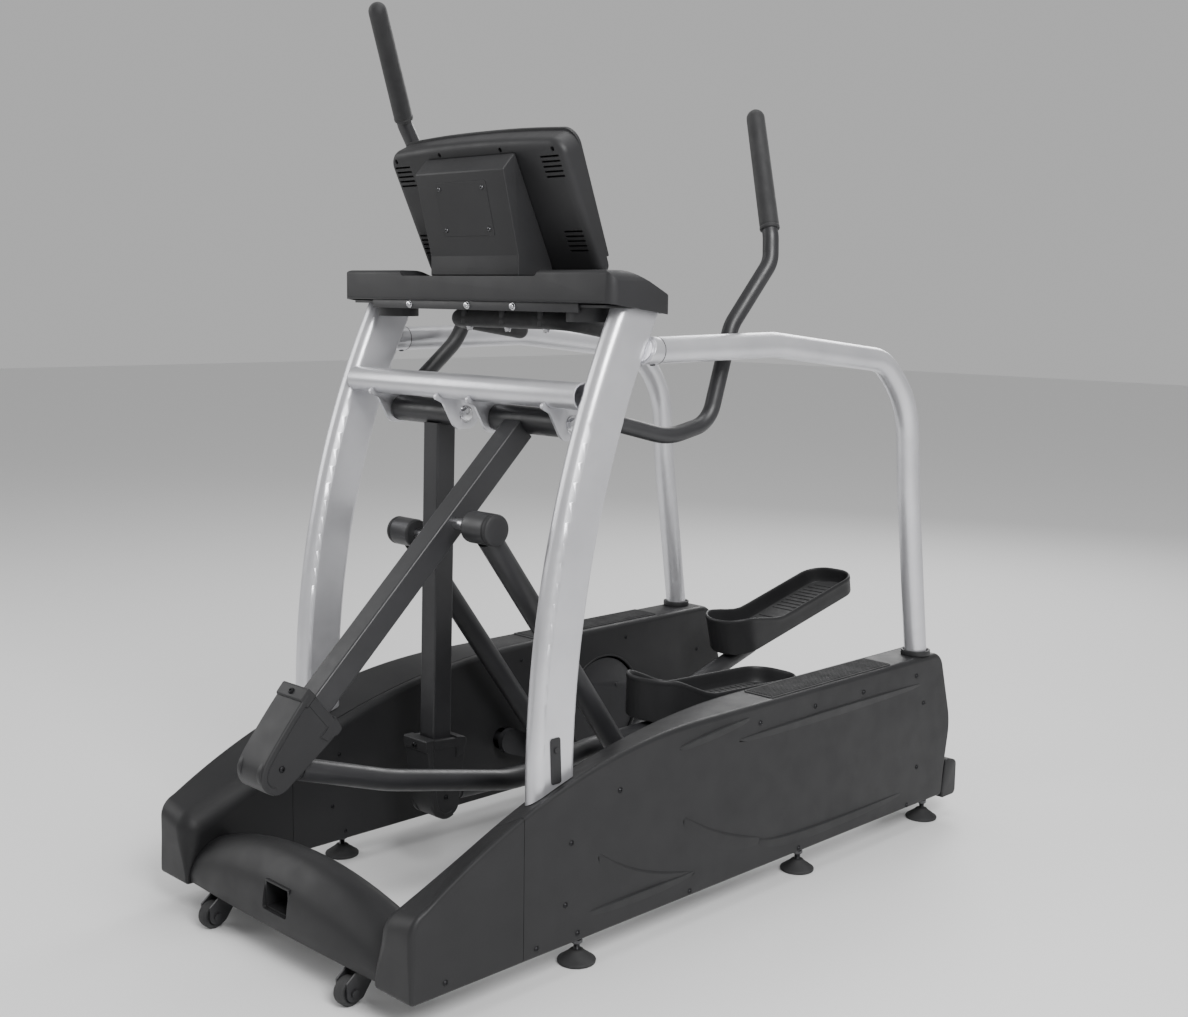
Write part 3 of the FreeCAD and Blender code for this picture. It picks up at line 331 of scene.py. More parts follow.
class Form:
    """Collects the closed shapes of one piece, then turns them into an object."""

    def __init__(self):
        self.points, self.faces = [], []

    def loft(self, rows):
        """Joins rings of points that all hold the same count, and closes both ends."""
        start, count = len(self.points), len(rows[0])
        for row in rows:
            self.points.extend(tuple(point) for point in row)
        for level in range(len(rows) - 1):
            for step in range(count):
                a = start + level * count + step
                b = start + level * count + (step + 1) % count
                self.faces.append((a, b, b + count, a + count))
        last = start + (len(rows) - 1) * count
        self.faces.append(tuple(range(start + count - 1, start - 1, -1)))
        self.faces.append(tuple(range(last, last + count)))
        return self

    def lathe(self, base, axis, profile, sides=32):
        """Turned shape; the profile holds (distance along the axis, radius, hexagonal or not), in mm."""
        axis = Vector(axis).normalized()
        across = axis.orthogonal().normalized()
        up = axis.cross(across)
        rows = []
        for distance, radius, *hexed in profile:
            row = []
            for step in range(sides):
                turn = 2 * math.pi * step / sides
                reach = radius
                if hexed:
                    sixth = math.pi / 3
                    reach *= math.cos(sixth / 2) / math.cos(turn % sixth - sixth / 2)
                arm = across * math.cos(turn) + up * math.sin(turn)
                row.append(Vector(base) + axis * distance * MM + arm * reach * MM)
            rows.append(row)
        return self.loft(rows)

    def prism(self, path, place, low, high, edge=0.0):
        """An outline in mm pushed from low to high; place(a, b, c) gives the point, edge rounds the rims."""
        normals = path_normals(path)
        levels = [(low, edge), (low + edge * 0.3, edge * 0.3), (low + edge, 0.0),
                  (high - edge, 0.0), (high - edge * 0.3, edge * 0.3), (high, edge)] if edge else [
                      (low, 0.0), (high, 0.0)]
        rows = [[place(point.x - n.x * drop, point.y - n.y * drop, depth) for point, n in zip(path, normals)]
                for depth, drop in levels]
        return self.loft(rows)

    def bar(self, centres, across, up, half_wide, half_high, soft=2.0):
        """A strip with a rounded rectangular section along centres; across and up are its section axes."""
        section = rounded_path([(-half_wide, -half_high, soft), (half_wide, -half_high, soft),
                                (half_wide, half_high, soft), (-half_wide, half_high, soft)], 2)
        rows = []
        for centre, side, rise in zip(centres, across, up):
            rows.append([centre + side * point.x * MM + rise * point.y * MM for point in section])
        return self.loft(rows)

    def piece(self, name, body, slot, material=None, replaces=(), angle=35.0):
        mesh = bpy.data.meshes.new(name)
        mesh.from_pydata(self.points, [], self.faces)
        made = link_object(name, mesh)
        tidy_normals(made)
        finish_shading(made, angle)
        return finish_piece(made, body, slot, material, replaces)


def tidy_normals(piece):
    work = bmesh.new()
    work.from_mesh(piece.data)
    bmesh.ops.remove_doubles(work, verts=work.verts, dist=1e-6)
    bmesh.ops.recalc_face_normals(work, faces=work.faces)
    work.to_mesh(piece.data)
    work.free()


def finish_shading(piece, angle=35.0):
    """Smooth shading in which the large faces stay flat."""
    smooth(piece, angle)
    made = piece.modifiers.new("normals", "WEIGHTED_NORMAL")
    made.keep_sharp = True
    made.weight = 80
    apply_modifiers(piece)


def boolean(piece, cutter, operation="DIFFERENCE"):
    """Cuts or trims a piece with another mesh, which is used up."""
    made = piece.modifiers.new("cut", "BOOLEAN")
    made.operation = operation
    made.solver = "EXACT"
    made.object = cutter
    apply_modifiers(piece)
    bpy.data.objects.remove(cutter, do_unlink=True)


def cutter_of(form):
    mesh = bpy.data.meshes.new("cutter")
    mesh.from_pydata(form.points, [], form.faces)
    made = link_object("cutter", mesh)
    tidy_normals(made)
    return made


def bench(x, y, z):
    """A point given in the bench frame, in millimetres, as a place in the row frame."""
    return Vector((x * MM, y * MM + SHIFT, z * MM))


def node_copy(node, name):
    """A CAD node's mesh as a new object, with its flat faces joined up again."""
    work = bmesh.new()
    work.from_mesh(NODES[node].data)
    bmesh.ops.remove_doubles(work, verts=work.verts, dist=1e-5)
    bmesh.ops.dissolve_limit(work, angle_limit=math.radians(1.0), verts=work.verts, edges=work.edges)
    mesh = bpy.data.meshes.new(name)
    work.to_mesh(mesh)
    work.free()
    return link_object(name, mesh)


def refined(node, width, segments=3, angle=32.0):
    """A copy of a CAD node with rounded edges, which replaces it."""
    made = node_copy(node, node + "_form")
    soften(made, width, segments, angle)
    return finish_piece(made, NODE_BODY[node], NODE_SLOT[node], None, [node])


# ---------------------------------------------------------------- side pods
POD_IN, POD_OUT, SEAM = 300.0, 400.0, 312.0
POD_FRONT, POD_REAR, POD_FLOOR, POD_TOP = -800.0, 795.0, 60.0, 405.0
CAP_SEAM = -555.0
SEAM_HALF = 0.5                   # half of the dark joint line between two covers
SKIN = 2.5


def pod_outline(across):
    """The pod's side view; across runs from 0 at the inner face, whose shoulder is lower, to 1."""
    return rounded_path([(POD_FRONT, POD_FLOOR, 8), (POD_FRONT, 180 + 20 * across, 42),
                         (-240 - 232 * across, POD_TOP, 1900 - 670 * across), (POD_REAR - 52, POD_TOP, 40),
                         (POD_REAR, 232, 150), (POD_REAR - 30, POD_FLOOR, 10)], 10)


def pod_form(side):
    """The pod's closed skin: its inner shoulder is a wide roll at the nose and a crisp edge at the rear."""
    inner, outer = pod_outline(0.0), pod_outline(1.0)
    normals = path_normals(pod_outline(0.5))
    wide = POD_OUT - POD_IN
    stations = [(0.0, angle) for angle in range(0, 91, 15)] + [(1.0, angle) for angle in range(90, -1, -18)]
    rows = []
    for far, angle in stations:
        turn = math.radians(angle)
        row = []
        for a, b, normal in zip(inner, outer, normals):
            if far:
                roll = 6.0 + 5.0 * ease((a.y - 70) / 60)
            else:
                roll = 6.0 + (6.0 + 26.0 * ease((-250 - a.x) / 480)) * ease((a.y - 70) / 90)
            along = roll * (1 - math.cos(turn))
            across = 1 - along / wide if far else along / wide
            point = a.lerp(b, across) - normal * roll * (1 - math.sin(turn))
            row.append(bench(side * (POD_IN + across * wide), point.x, point.y))
        rows.append(row)
    return Form().loft(rows)


STYLE_LINES = (                   # (y, z) of the embossed creases on the outer covers, and their width
    ((-161, 363), (-60, 374), (46, 382), 9), ((16, 343), (312, 346), (653, 345), 10),
    ((-142, 221), (-37, 161), (89, 123), 18), ((89, 123), (222, 103), (591, 103), 12),
    ((-371, 208), (-265, 145), (-124, 109), 16), ((-109, 107), (-264, 106), (-395, 107), 10),
)


def crease(form, side, line):
    """A raised crease on the pod's outer face: steep above, fading out below, thin at both ends."""
    (ay, az), (by, bz), (cy, cz), width = line
    start, middle, end = Vector((ay, az)), Vector((by, bz)), Vector((cy, cz))
    pull = middle * 2 - (start + end) / 2
    rows = []
    steps = 28
    for step in range(steps + 1):
        t = step / steps
        here = start * (1 - t) ** 2 + pull * 2 * t * (1 - t) + end * t ** 2
        along = ((pull - start) * (1 - t) + (end - pull) * t).normalized()
        rise = Vector((-along.y, along.x)) * (1 if along.x > 0 else -1)
        swell = math.sin(math.pi * min(1.0, max(0.0, t))) ** 0.5 if 0 < t < 1 else 0.0
        size, lift = width * (0.25 + 0.75 * swell), 4.2 * swell
        row = []
        for place, height in ((0.55, -1.0), (0.5, 0.0), (0.3, 0.9), (0.1, 1.0), (-0.5, 0.45), (-1.5, 0.0),
                              (-1.6, -1.0)):
            spot = here + rise * size * place
            out = lift * height if height > 0 else 0.4 * height
            row.append(bench(side * (POD_OUT + out), spot.x, spot.y))
        rows.append(row)
    form.loft(rows)


def keep_half(piece, point, normal):
    """Drops what lies beyond a plane on the side that the normal points to."""
    work = bmesh.new()
    work.from_mesh(piece.data)
    bmesh.ops.bisect_plane(work, geom=work.verts[:] + work.edges[:] + work.faces[:], plane_co=point,
                           plane_no=normal, clear_outer=True)
    work.to_mesh(piece.data)
    work.free()


def build_pod(tag, side):
    whole = cutter_of(pod_form(side))
    seam_x, seam_y = side * SEAM * MM, CAP_SEAM * MM + SHIFT
    gap = SEAM_HALF * MM
    zones = {
        "inner_cover": ([((seam_x - side * gap, 0, 0), (side, 0, 0)), ((0, seam_y + gap, 0), (0, -1, 0))]),
        "outer_cover": ([((seam_x + side * gap, 0, 0), (-side, 0, 0)), ((0, seam_y + gap, 0), (0, -1, 0))]),
        "front_cap": ([((0, seam_y - gap, 0), (0, 1, 0))]),
    }
    made = {}
    for zone, planes in zones.items():
        name = f"{zone}_skin_{tag}"
        piece = link_object(name, whole.data.copy())
        for point, normal in planes:
            keep_half(piece, Vector(point), Vector(normal))
        wall = piece.modifiers.new("wall", "SOLIDIFY")
        wall.thickness = SKIN * MM
        wall.offset = -1.0
        apply_modifiers(piece)
        made[zone] = piece
    bpy.data.objects.remove(whole, do_unlink=True)

    disc = JOINTS[f"drive_disc_{tag}_spin"]["pos_m"]
    crank = JOINTS[f"crank_{tag}_spin"]["pos_m"]
    for place, radius in ((disc, 121.0), (crank, 24.0)):
        start = Vector((side * 290 * MM, place[1], place[2]))
        drill = Form().lathe(start, (side, 0, 0), [(0, radius), (40, radius)], 72)
        boolean(made["inner_cover"], cutter_of(drill))
    for zone, piece in made.items():
        finish_shading(piece, 30.0)
        node = "front_caps" if zone == "front_cap" else f"{zone}_{tag}"
        finish_piece(piece, "frame", "cover_plastic", None, [node])

    creases = Form()
    for line in STYLE_LINES:
        crease(creases, side, line)
    creases.piece(f"outer_cover_creases_{tag}", "frame", "cover_plastic", angle=50.0)

    # a turned ring frames the disc's window, standing a little proud of the inner cover
    ring_base = Vector((side * (POD_IN - 1.6) * MM, disc[1], disc[2]))
    lip = [(8, 120.5), (1.2, 120.5), (0, 121.6), (0, 124.5), (1.2, 126), (8, 126)]
    Form().lathe(ring_base, (side, 0, 0), lip, 96).piece(f"disc_window_ring_{tag}", "frame", "cover_plastic")


def build_step_pads():
    """Ribbed treads on the crowns of the pods."""
    for tag, side in SIDES:
        form = Form()
        low_x, high_x, front, rear, base = 316.0, 391.0, 125.0, 550.0, 405.0
        path = rounded_path([(low_x, front, 8), (high_x, front, 8), (high_x, rear, 8), (low_x, rear, 8)], 2)
        form.prism(path, lambda a, b, c: bench(side * a, b, c), base - 0.6, base + 2.0, 0.6)
        ribs = 11
        for index in range(ribs):
            middle = low_x + 7 + (high_x - low_x - 14) * index / (ribs - 1)
            rib = rounded_path([(middle - 1.7, front + 7, 1.2), (middle + 1.7, front + 7, 1.2),
                                (middle + 1.7, rear - 7, 1.2), (middle - 1.7, rear - 7, 1.2)], 1)
            form.prism(rib, lambda a, b, c: bench(side * a, b, c), base + 1.5, base + 3.6, 0.7)
        form.piece(f"step_pad_ribbed_{tag}", "frame", "pad_rubber", None, ["step_pads"])


# ---------------------------------------------------------------- base
def build_shroud():
    """The hood over the front beam arches from side to side, higher in the middle than at the pods."""
    form, rows = Form(), []
    half, count = 299.0, 24
    for index in range(count + 1):
        x = -half + 2 * half * index / count
        crown = 1 - (x / half) ** 2
        top = 142 + 53 * crown
        front, back = -797 + 6 * (1 - crown), -664 - 4 * (1 - crown)
        ridge = -722 - 6 * crown
        profile = [(front, 67), (front - 0.5, 84 + 8 * crown),
                   (front + 6 + 3 * (1 - crown), 106 + 32 * crown),
                   (front + 26, 125 + 45 * crown), (front + 48, top - 4), (ridge, top), (ridge + 24, top - 5),
                   (back - 12, top - 32), (back, top - 62), (back, 67)]
        rows.append([bench(x, y, z) for y, z in smooth_curve(profile, 4)])
    form.loft(rows)
    hood = cutter_of(form)
    window = rounded_path([(-38, 96, 5), (38, 96, 5), (38, 150, 5), (-38, 150, 5)], 2)
    boolean(hood, cutter_of(Form().prism(window, lambda a, b, c: bench(a, c, b), -830, -742)))
    hood.name = "front_shroud_hood"
    finish_shading(hood, 40.0)
    finish_piece(hood, "frame", "cover_plastic", None, ["front_shroud"])


def smooth_curve(points, steps):
    """Catmull-Rom curve through an open row of points."""
    spots = [Vector(p) for p in points]
    spots = [spots[0] * 2 - spots[1]] + spots + [spots[-1] * 2 - spots[-2]]
    made = []
    for a, b, c, d in zip(spots, spots[1:], spots[2:], spots[3:]):
        for step in range(steps):
            t = step / steps
            made.append(((b * 2) + (c - a) * t + (a * 2 - b * 5 + c * 4 - d) * t * t
                         + (b * 3 - a - c * 3 + d) * t ** 3) * 0.5)
    made.append(spots[-2])
    return made


def build_feet():
    """Levelling feet: rubber-soled discs with a ribbed cone, a threaded stem and a lock nut."""
    form, stems = Form(), Form()
    for _, side in SIDES:
        for rear in (-390, 266, 742):
            base = bench(side * 363, rear, 0)
            form.lathe(base, Z_AXIS, [(0, 33.5), (1.2, 35.4), (4.5, 36), (6.6, 35), (8, 32.5), (9.4, 30.5),
                                      (13, 26), (18, 18.5), (22, 14), (24, 12.5), (25, 10)], 48)
            thread = [(24, 5.2)]
            for turn in range(17):
                thread += [(24.4 + turn * 2.1, 5.0), (25.4 + turn * 2.1, 6.0)]
            stems.lathe(base, Z_AXIS, thread, 24)
            stems.lathe(base, Z_AXIS, [(36, 9.4, 1), (36.7, 10.6, 1), (43.3, 10.6, 1), (44, 9.4, 1)], 24)
    form.piece("leveler_discs", "frame", "pad_rubber", None, ["leveler_feet"], 40.0)
    stems.piece("leveler_stems", "frame", "bare_steel", "dark_steel", (), 25.0)


def build_wheels():
    """Rubber-tyred transport wheels with a dished hub."""
    for tag, _ in SIDES:
        body = f"transport_wheel_{tag}"
        low, high = (Vector(corner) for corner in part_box(body))
        middle = (low + high) / 2
        radius, half = (high.z - low.z) / 2 / MM, (high.x - low.x) / 2 / MM
        start = middle - X_AXIS * half * MM
        tyre = [(3, 15), (1.2, 17), (0.2, 20), (0.4, 22.5), (2.6, radius - 0.9), (6, radius), (half, radius)]
        tyre += [(2 * half - d, r) for d, r in reversed(tyre[:-1])]
        Form().lathe(start, X_AXIS, tyre, 48).piece(f"wheel_tyre_{tag}", body, "wheel_rubber", None, [body])
        hub = [(2.2, 4.1), (2.2, 8), (3.6, 9), (3.6, 13), (1.4, 14), (1.4, 15.6), (half, 15.8)]
        hub += [(2 * half - d, r) for d, r in reversed(hub[:-1])]
        Form().lathe(start, X_AXIS, hub, 48).piece(f"wheel_hub_{tag}", body, "trim_plastic")


# ---------------------------------------------------------------- rockers, handles, rods
def arm_place(tag):
    """Gives place(x, rear, down): mm in the rocker's own frame, from its pivot to the foot link's pin."""
    origin = Vector(JOINTS[f"rocker_{tag}_swing"]["pos_m"])
    pin = Vector(JOINTS[f"foot_link_{tag}_pivot"]["pos_m"])
    down = (pin - origin)
    down.x = 0.0
    down.normalize()
    rear = X_AXIS.cross(down)
    return lambda x, back, drop: Vector((x * MM, origin.y, origin.z)) + rear * back * MM + down * drop * MM


def build_boot(tag, side):
    """Moulded boot: two cheeks joined by a wrap-round front band with a collar at its top."""
    place = arm_place(tag)
    middle = side * 125.0
    body = f"rocker_{tag}"
    form = Form()
    cheek = rounded_path([(-46, 676, 6), (-29, 832, 26), (34, 832, 26), (52, 690, 10), (46, 676, 8)], 3)
    for low in (23.8, -35.2):
        form.prism(cheek, lambda a, b, c: place(c, a, b), middle + low, middle + low + 11.4, 2.5)
    # the band runs down the front and round under the pin
    line = [Vector((-43, 672)), Vector((-39, 715)), Vector((-33, 760)), Vector((-27, 797)),
            Vector((-20, 815)), Vector((-9, 826)), Vector((5, 829)), Vector((18, 825))]
    run = smooth_curve(line, 4)
    centres, across, up = [], [], []
    for index, point in enumerate(run):
        near, far = run[max(0, index - 1)], run[min(len(run) - 1, index + 1)]
        along = (far - near).normalized()
        out = Vector((-along.y, along.x))
        centres.append(place(middle, point.x, point.y))
        across.append(X_AXIS)
        up.append((place(0, out.x, out.y) - place(0, 0, 0)) / MM)
    form.bar(centres, across, up, 38.4, 6.5, soft=3.5)
    collar = rounded_path([(-54, 662, 7), (-52, 682, 6), (54, 690, 7), (55, 670, 7)], 3)
    for low in (23.2, -37.4):
        form.prism(collar, lambda a, b, c: place(c, a, b), middle + low, middle + low + 14.2, 4.0)
    front = rounded_path([(-54, 662, 4), (-52, 688, 5), (-30, 688, 2), (-30, 662, 2)], 2)
    form.prism(front, lambda a, b, c: place(c, a, b), middle - 38.0, middle + 38.0, 2.5)
    back = rounded_path([(25, 664, 2), (25, 710, 2), (46, 704, 6), (54, 670, 6)], 2)
    form.prism(back, lambda a, b, c: place(c, a, b), middle - 37.0, middle + 37.0, 2.5)
    form.piece(f"boot_shell_{tag}", body, "trim_plastic", None, [f"boot_cover_{tag}"], 38.0)

    bolts = Form()
    ahead = (place(0, -1, 0) - place(0, 0, 0)) / MM
    bolts.lathe(place(middle, -53.5, 676), ahead, SOCKET_HEAD, 24)
    for way in (1, -1):
        bolts.lathe(place(middle + way * 35.0, 2, 790), (way, 0, 0), SOCKET_HEAD, 24)
    bolts.piece(f"boot_bolts_{tag}", body, "bare_steel", "black_screw", (), 30.0)


SOCKET_HEAD = [(-1, 5.6), (0.4, 5.6), (2.2, 5.2), (3.1, 4.0), (3.3, 2.9, 1), (3.2, 2.6, 1), (1.2, 2.5, 1)]


def build_hub_cover(tag, side):
    """Domed cover on the drive rod's upper eye."""
    hub = Vector(JOINTS[f"drive_rod_{tag}_pivot"]["pos_m"])
    base = Vector((side * 246 * MM, hub.y, hub.z))
    Form().lathe(base, (side, 0, 0), [(-1, 28.8), (2, 28.8), (2.4, 27.6), (3.6, 27.6), (4, 28.9), (9, 28.9),
                                      (12, 27.6), (13.8, 24.6), (14.6, 19), (15, 8), (15, 1)], 64).piece(
        f"hub_cover_{tag}", f"drive_rod_{tag}", "trim_plastic", None, (), 30.0)
    inner = Vector((side * 196 * MM, hub.y, hub.z))
    Form().lathe(inner, (-side, 0, 0), [(-1, 28.4), (3, 28.4), (5, 27), (6, 24), (6, 11)], 64).piece(
        f"hub_inner_cover_{tag}", f"drive_rod_{tag}", "trim_plastic", None, (), 30.0)


def long_axis(node):
    """The two ends of a straight round node along its own axis, from its mesh."""
    points = [vertex.co.copy() for vertex in NODES[node].data.vertices]
    middle = sum(points, Vector()) / len(points)
    axis = Vector((0.1, 0.2, 1.0))
    for _ in range(30):
        axis = sum(((point - middle) * (point - middle).dot(axis) for point in points), Vector()).normalized()
    if axis.z < 0:
        axis = -axis
    reach = [(point - middle).dot(axis) for point in points]
    return middle + axis * min(reach), middle + axis * max(reach)


def build_grip(tag):
    """Dipped foam grip: a rolled lip at its lower end, a slight taper and a rounded tip."""
    node = f"handle_grip_{tag}"
    low, high = long_axis(node)
    length = (high - low).length / MM
    profile = [(0.2, 16.2), (0, 18.4), (1.2, 19.8), (4, 20.2), (6.6, 19.8), (7.4, 18.9), (8.4, 18.8),
               (9.6, 19.5)]
    shaft = 10
    for step in range(shaft + 1):
        t = step / shaft
        profile.append((14 + (length - 36) * t, 19.6 - 0.9 * t))
    for angle in range(10, 90, 10):
        turn = math.radians(angle)
        profile.append((length - 19 + 19 * math.sin(turn) * 0.985, 18.6 * math.cos(turn)))
    profile.append((length - 0.2, 1.0))
    Form().lathe(low, high - low, profile, 48).piece(f"grip_foam_{tag}", f"rocker_{tag}", "grip_foam", None,
                                                     [node], 40.0)


# ---------------------------------------------------------------- pedals
def link_place(tag):
    """Gives place(x, rear, up): mm in the foot link's own frame, from its pin, with the pedal level."""
    pin = Vector(JOINTS[f"foot_link_{tag}_pivot"]["pos_m"])
    slope = math.radians({"r": -2.5, "l": 13.5}[tag])
    rear = Vector((0, math.cos(slope), math.sin(slope)))
    up = Vector((0, -math.sin(slope), math.cos(slope)))
    return lambda x, back, rise: Vector((x * MM, pin.y, pin.z)) + rear * back * MM + up * rise * MM


def build_pedal(tag, side):
    """Deep-toed pedal with a rolled rim, a draughted wall and a ribbed tread inside."""
    place = link_place(tag)
    body = f"foot_link_{tag}"
    middle, half = side * 115.0, 75.0
    toe, heel, floor = 905.0, 1395.0, -60.0
    plan = rounded_path([(middle - half + 4, toe, 66), (middle - half, heel, 60), (middle + half, heel, 60),
                         (middle + half - 4, toe, 66)], 14)
    normals = path_normals(plan)

    def rim(back):
        """Height of the rim above the floor at a distance behind the pin."""
        return 48 + 44 * (1 - ease((back - toe - 20) / 165))

    rows = []
    levels = [(9, 0, 0), (4, 0, 1.2), (2.2, 0, 5), (1.6, 0.5, 0), (1.2, 1, -13), (0.2, 1, -10.5), (0, 1, -7),
              (0.2, 1, -3), (1.6, 1, -0.8), (3.6, 1, 0), (5.6, 1, -0.8), (7.0, 1, -3.2), (7.6, 1, -9),
              (8.4, 0.4, 6), (9.6, 0, 13), (12.5, 0, 10)]
    for inset, part, extra in levels:
        row = []
        for point, normal in zip(plan, normals):
            rise = rim(point.y) * part + extra
            row.append(place(point.x - normal.x * inset, point.y - normal.y * inset, floor + rise))
        rows.append(row)
    Form().loft(rows).piece(f"pedal_shell_{tag}", body, "pedal_plastic", None, [f"pedal_{tag}"], 40.0)

    tread = Form()
    pad = rounded_path([(middle - 58, toe + 20, 50), (middle - 61, heel - 16, 46),
                        (middle + 61, heel - 16, 46), (middle + 58, toe + 20, 50)], 4)
    tread.prism(pad, place, floor + 9.5, floor + 12.5, 1.2)
    count = 22
    for index in range(count):
        back = toe + 52 + (heel - toe - 100) * index / (count - 1)
        if abs(index - count / 2 + 0.5) < 1:
            continue
        edge = 50.0 - 16.0 * (ease((toe + 90 - back) / 60) + ease((back - heel + 84) / 60))
        rib = rounded_path([(middle - edge, back - 3, 2.4), (middle + edge, back - 3, 2.4),
                            (middle + edge, back + 3, 2.4), (middle - edge, back + 3, 2.4)], 1)
        tread.prism(rib, place, floor + 12, floor + 14.6, 1.1)
    tread.piece(f"pedal_tread_{tag}", body, "pad_rubber", None, (), 35.0)


# ---------------------------------------------------------------- tray and console
def build_tray():
    """The tray: the CAD shell with its upper ends rounded off and every edge softened."""
    tray = node_copy("tray", "tray_form")
    low, high = (Vector(corner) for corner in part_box("tray"))
    half, bottom, top = high.x / MM + 2, low.z / MM - 6, high.z / MM + 0.5
    shape = rounded_path([(-half, bottom, 1), (half, bottom, 1), (half, top, 30), (-half, top, 30)], 4)
    boolean(tray, cutter_of(Form().prism(shape, lambda a, b, c: bench(a, c, b), -500, -100)), "INTERSECT")
    soften(tray, 4.0 * MM, 3, 28.0)
    finish_piece(tray, "frame", NODE_SLOT["tray"], None, ["tray"])


LEAN = math.radians(25.5)
FOOT_Y, FOOT_Z = -247.0, 1262.0


def console_spot(x, depth, height):
    """A point of the console: x across, depth behind its back face, height up the face, in mm."""
    return bench(x, FOOT_Y - height * math.sin(LEAN) + depth * math.cos(LEAN),
                 FOOT_Z + height * math.cos(LEAN) + depth * math.sin(LEAN))


def console_rim(inset, low=-27.0, high=246.0):
    """The console's face outline with rounded corners and a top that bows up a little."""
    half = 250.0
    corner = 30.0 - inset * 0.6
    path = rounded_path([(-half + inset, low + inset, corner * 0.6),
                         (half - inset, low + inset, corner * 0.6),
                         (half - inset, high - inset, corner), (-half + inset, high - inset, corner)], 12)
    bow = 9.0
    for point in path:
        if point.y > (low + high) / 2:
            point.y -= bow * (point.x / half) ** 2 * ease((point.y - (low + high) / 2) / 60)
    return path


def build_console():
    # back shell: soft edges behind, its open front closed by the bezel
    rows = []
    for depth, inset in ((0.0, 22.0), (0.25, 15.0), (1.6, 9.0), (4.4, 4.6), (9.0, 1.6), (16.0, 0.0)):
        rows.append([console_spot(point.x, depth, point.y) for point in console_rim(inset)])
    rows.append([console_spot(point.x, 26.0 + 20.0 * point.y / 246.0, point.y) for point in console_rim(0.0)])
    back = cutter_of(Form().loft(rows))
    back.name = "console_back_shell"
    room = [[console_spot(point.x, depth, point.y) for point in console_rim(8.0)] for depth in (15.0, 120.0)]
    boolean(back, cutter_of(Form().loft(room)))
    slots = Form()
    for x, height in ((-212, 168), (-212, 24), (212, 168), (212, 24)):
        for index in range(5):
            rise = height + index * 9.5
            slot = rounded_path([(x - 24, rise, 1.8), (x + 24, rise, 1.8), (x + 24, rise + 3.8, 1.8),
                                 (x - 24, rise + 3.8, 1.8)], 2)
            slots.prism(slot, lambda a, b, c: console_spot(a, c, b), -3.0, 12.0)
    for x in (-225, -88, 88, 225):
        place = console_spot(x, -3.0, 228.0 - 9 * (x / 250) ** 2)
        slots.lathe(place, console_spot(0, 1, 0) - console_spot(0, 0, 0), [(0, 4.6), (9, 4.6)], 24)
    boolean(back, cutter_of(slots))
    finish_shading(back, 32.0)
    finish_piece(back, "frame", NODE_SLOT["console_back"], None, ["console_back"])

    rows = [[console_spot(point.x, depth, point.y) for point in console_rim(inset, -25.0, 250.0)]
            for depth, inset in ((0.0, 0.0), (120.0, 0.0))]
    bezel = node_copy("console_bezel", "console_frame")
    boolean(bezel, cutter_of(Form().loft(rows)), "INTERSECT")
    soften(bezel, 1.6 * MM, 3, 30.0)
    finish_piece(bezel, "frame", NODE_SLOT["console_bezel"], None, ["console_bezel"])

    refined("console_neck", 4.0 * MM, 4, 20.0)
    refined("console_screen", 0.8 * MM)
    for index in range(1, 5):
        refined(f"console_key_{index}", 1.2 * MM, 3, 40.0)
    build_neck_plate()


def build_neck_plate():
    """The thin cover plate with four screws on the neck's front face."""
    low, high = bench(0, -334, 1276), bench(0, -373, 1430)
    rise = (high - low).normalized()
    out = X_AXIS.cross(rise)
    if out.y > 0:
        out = -out

    def spot(a, b, c):
        return low + X_AXIS * a * MM + rise * b * MM + out * c * MM

    form = Form()
    plate = rounded_path([(-74, 38, 3), (74, 38, 3), (74, 140, 3), (-74, 140, 3)], 3)
    form.prism(plate, spot, -1.0, 1.0, 0.6)
    form.piece("neck_plate", "frame", "trim_plastic", None, (), 30.0)
    heads = Form()
    for x in (-62, 62):
        for height in (50, 128):
            heads.lathe(spot(x, height, 1.0), out, SMALL_HEAD, 24)
    heads.piece("neck_screws", "frame", "screw_chrome", "dark_steel", (), 30.0)


SMALL_HEAD = [(-0.5, 4.4), (0.6, 4.4), (1.9, 3.6), (2.4, 2.3), (2.4, 1.7, 1), (1.0, 1.6, 1)]


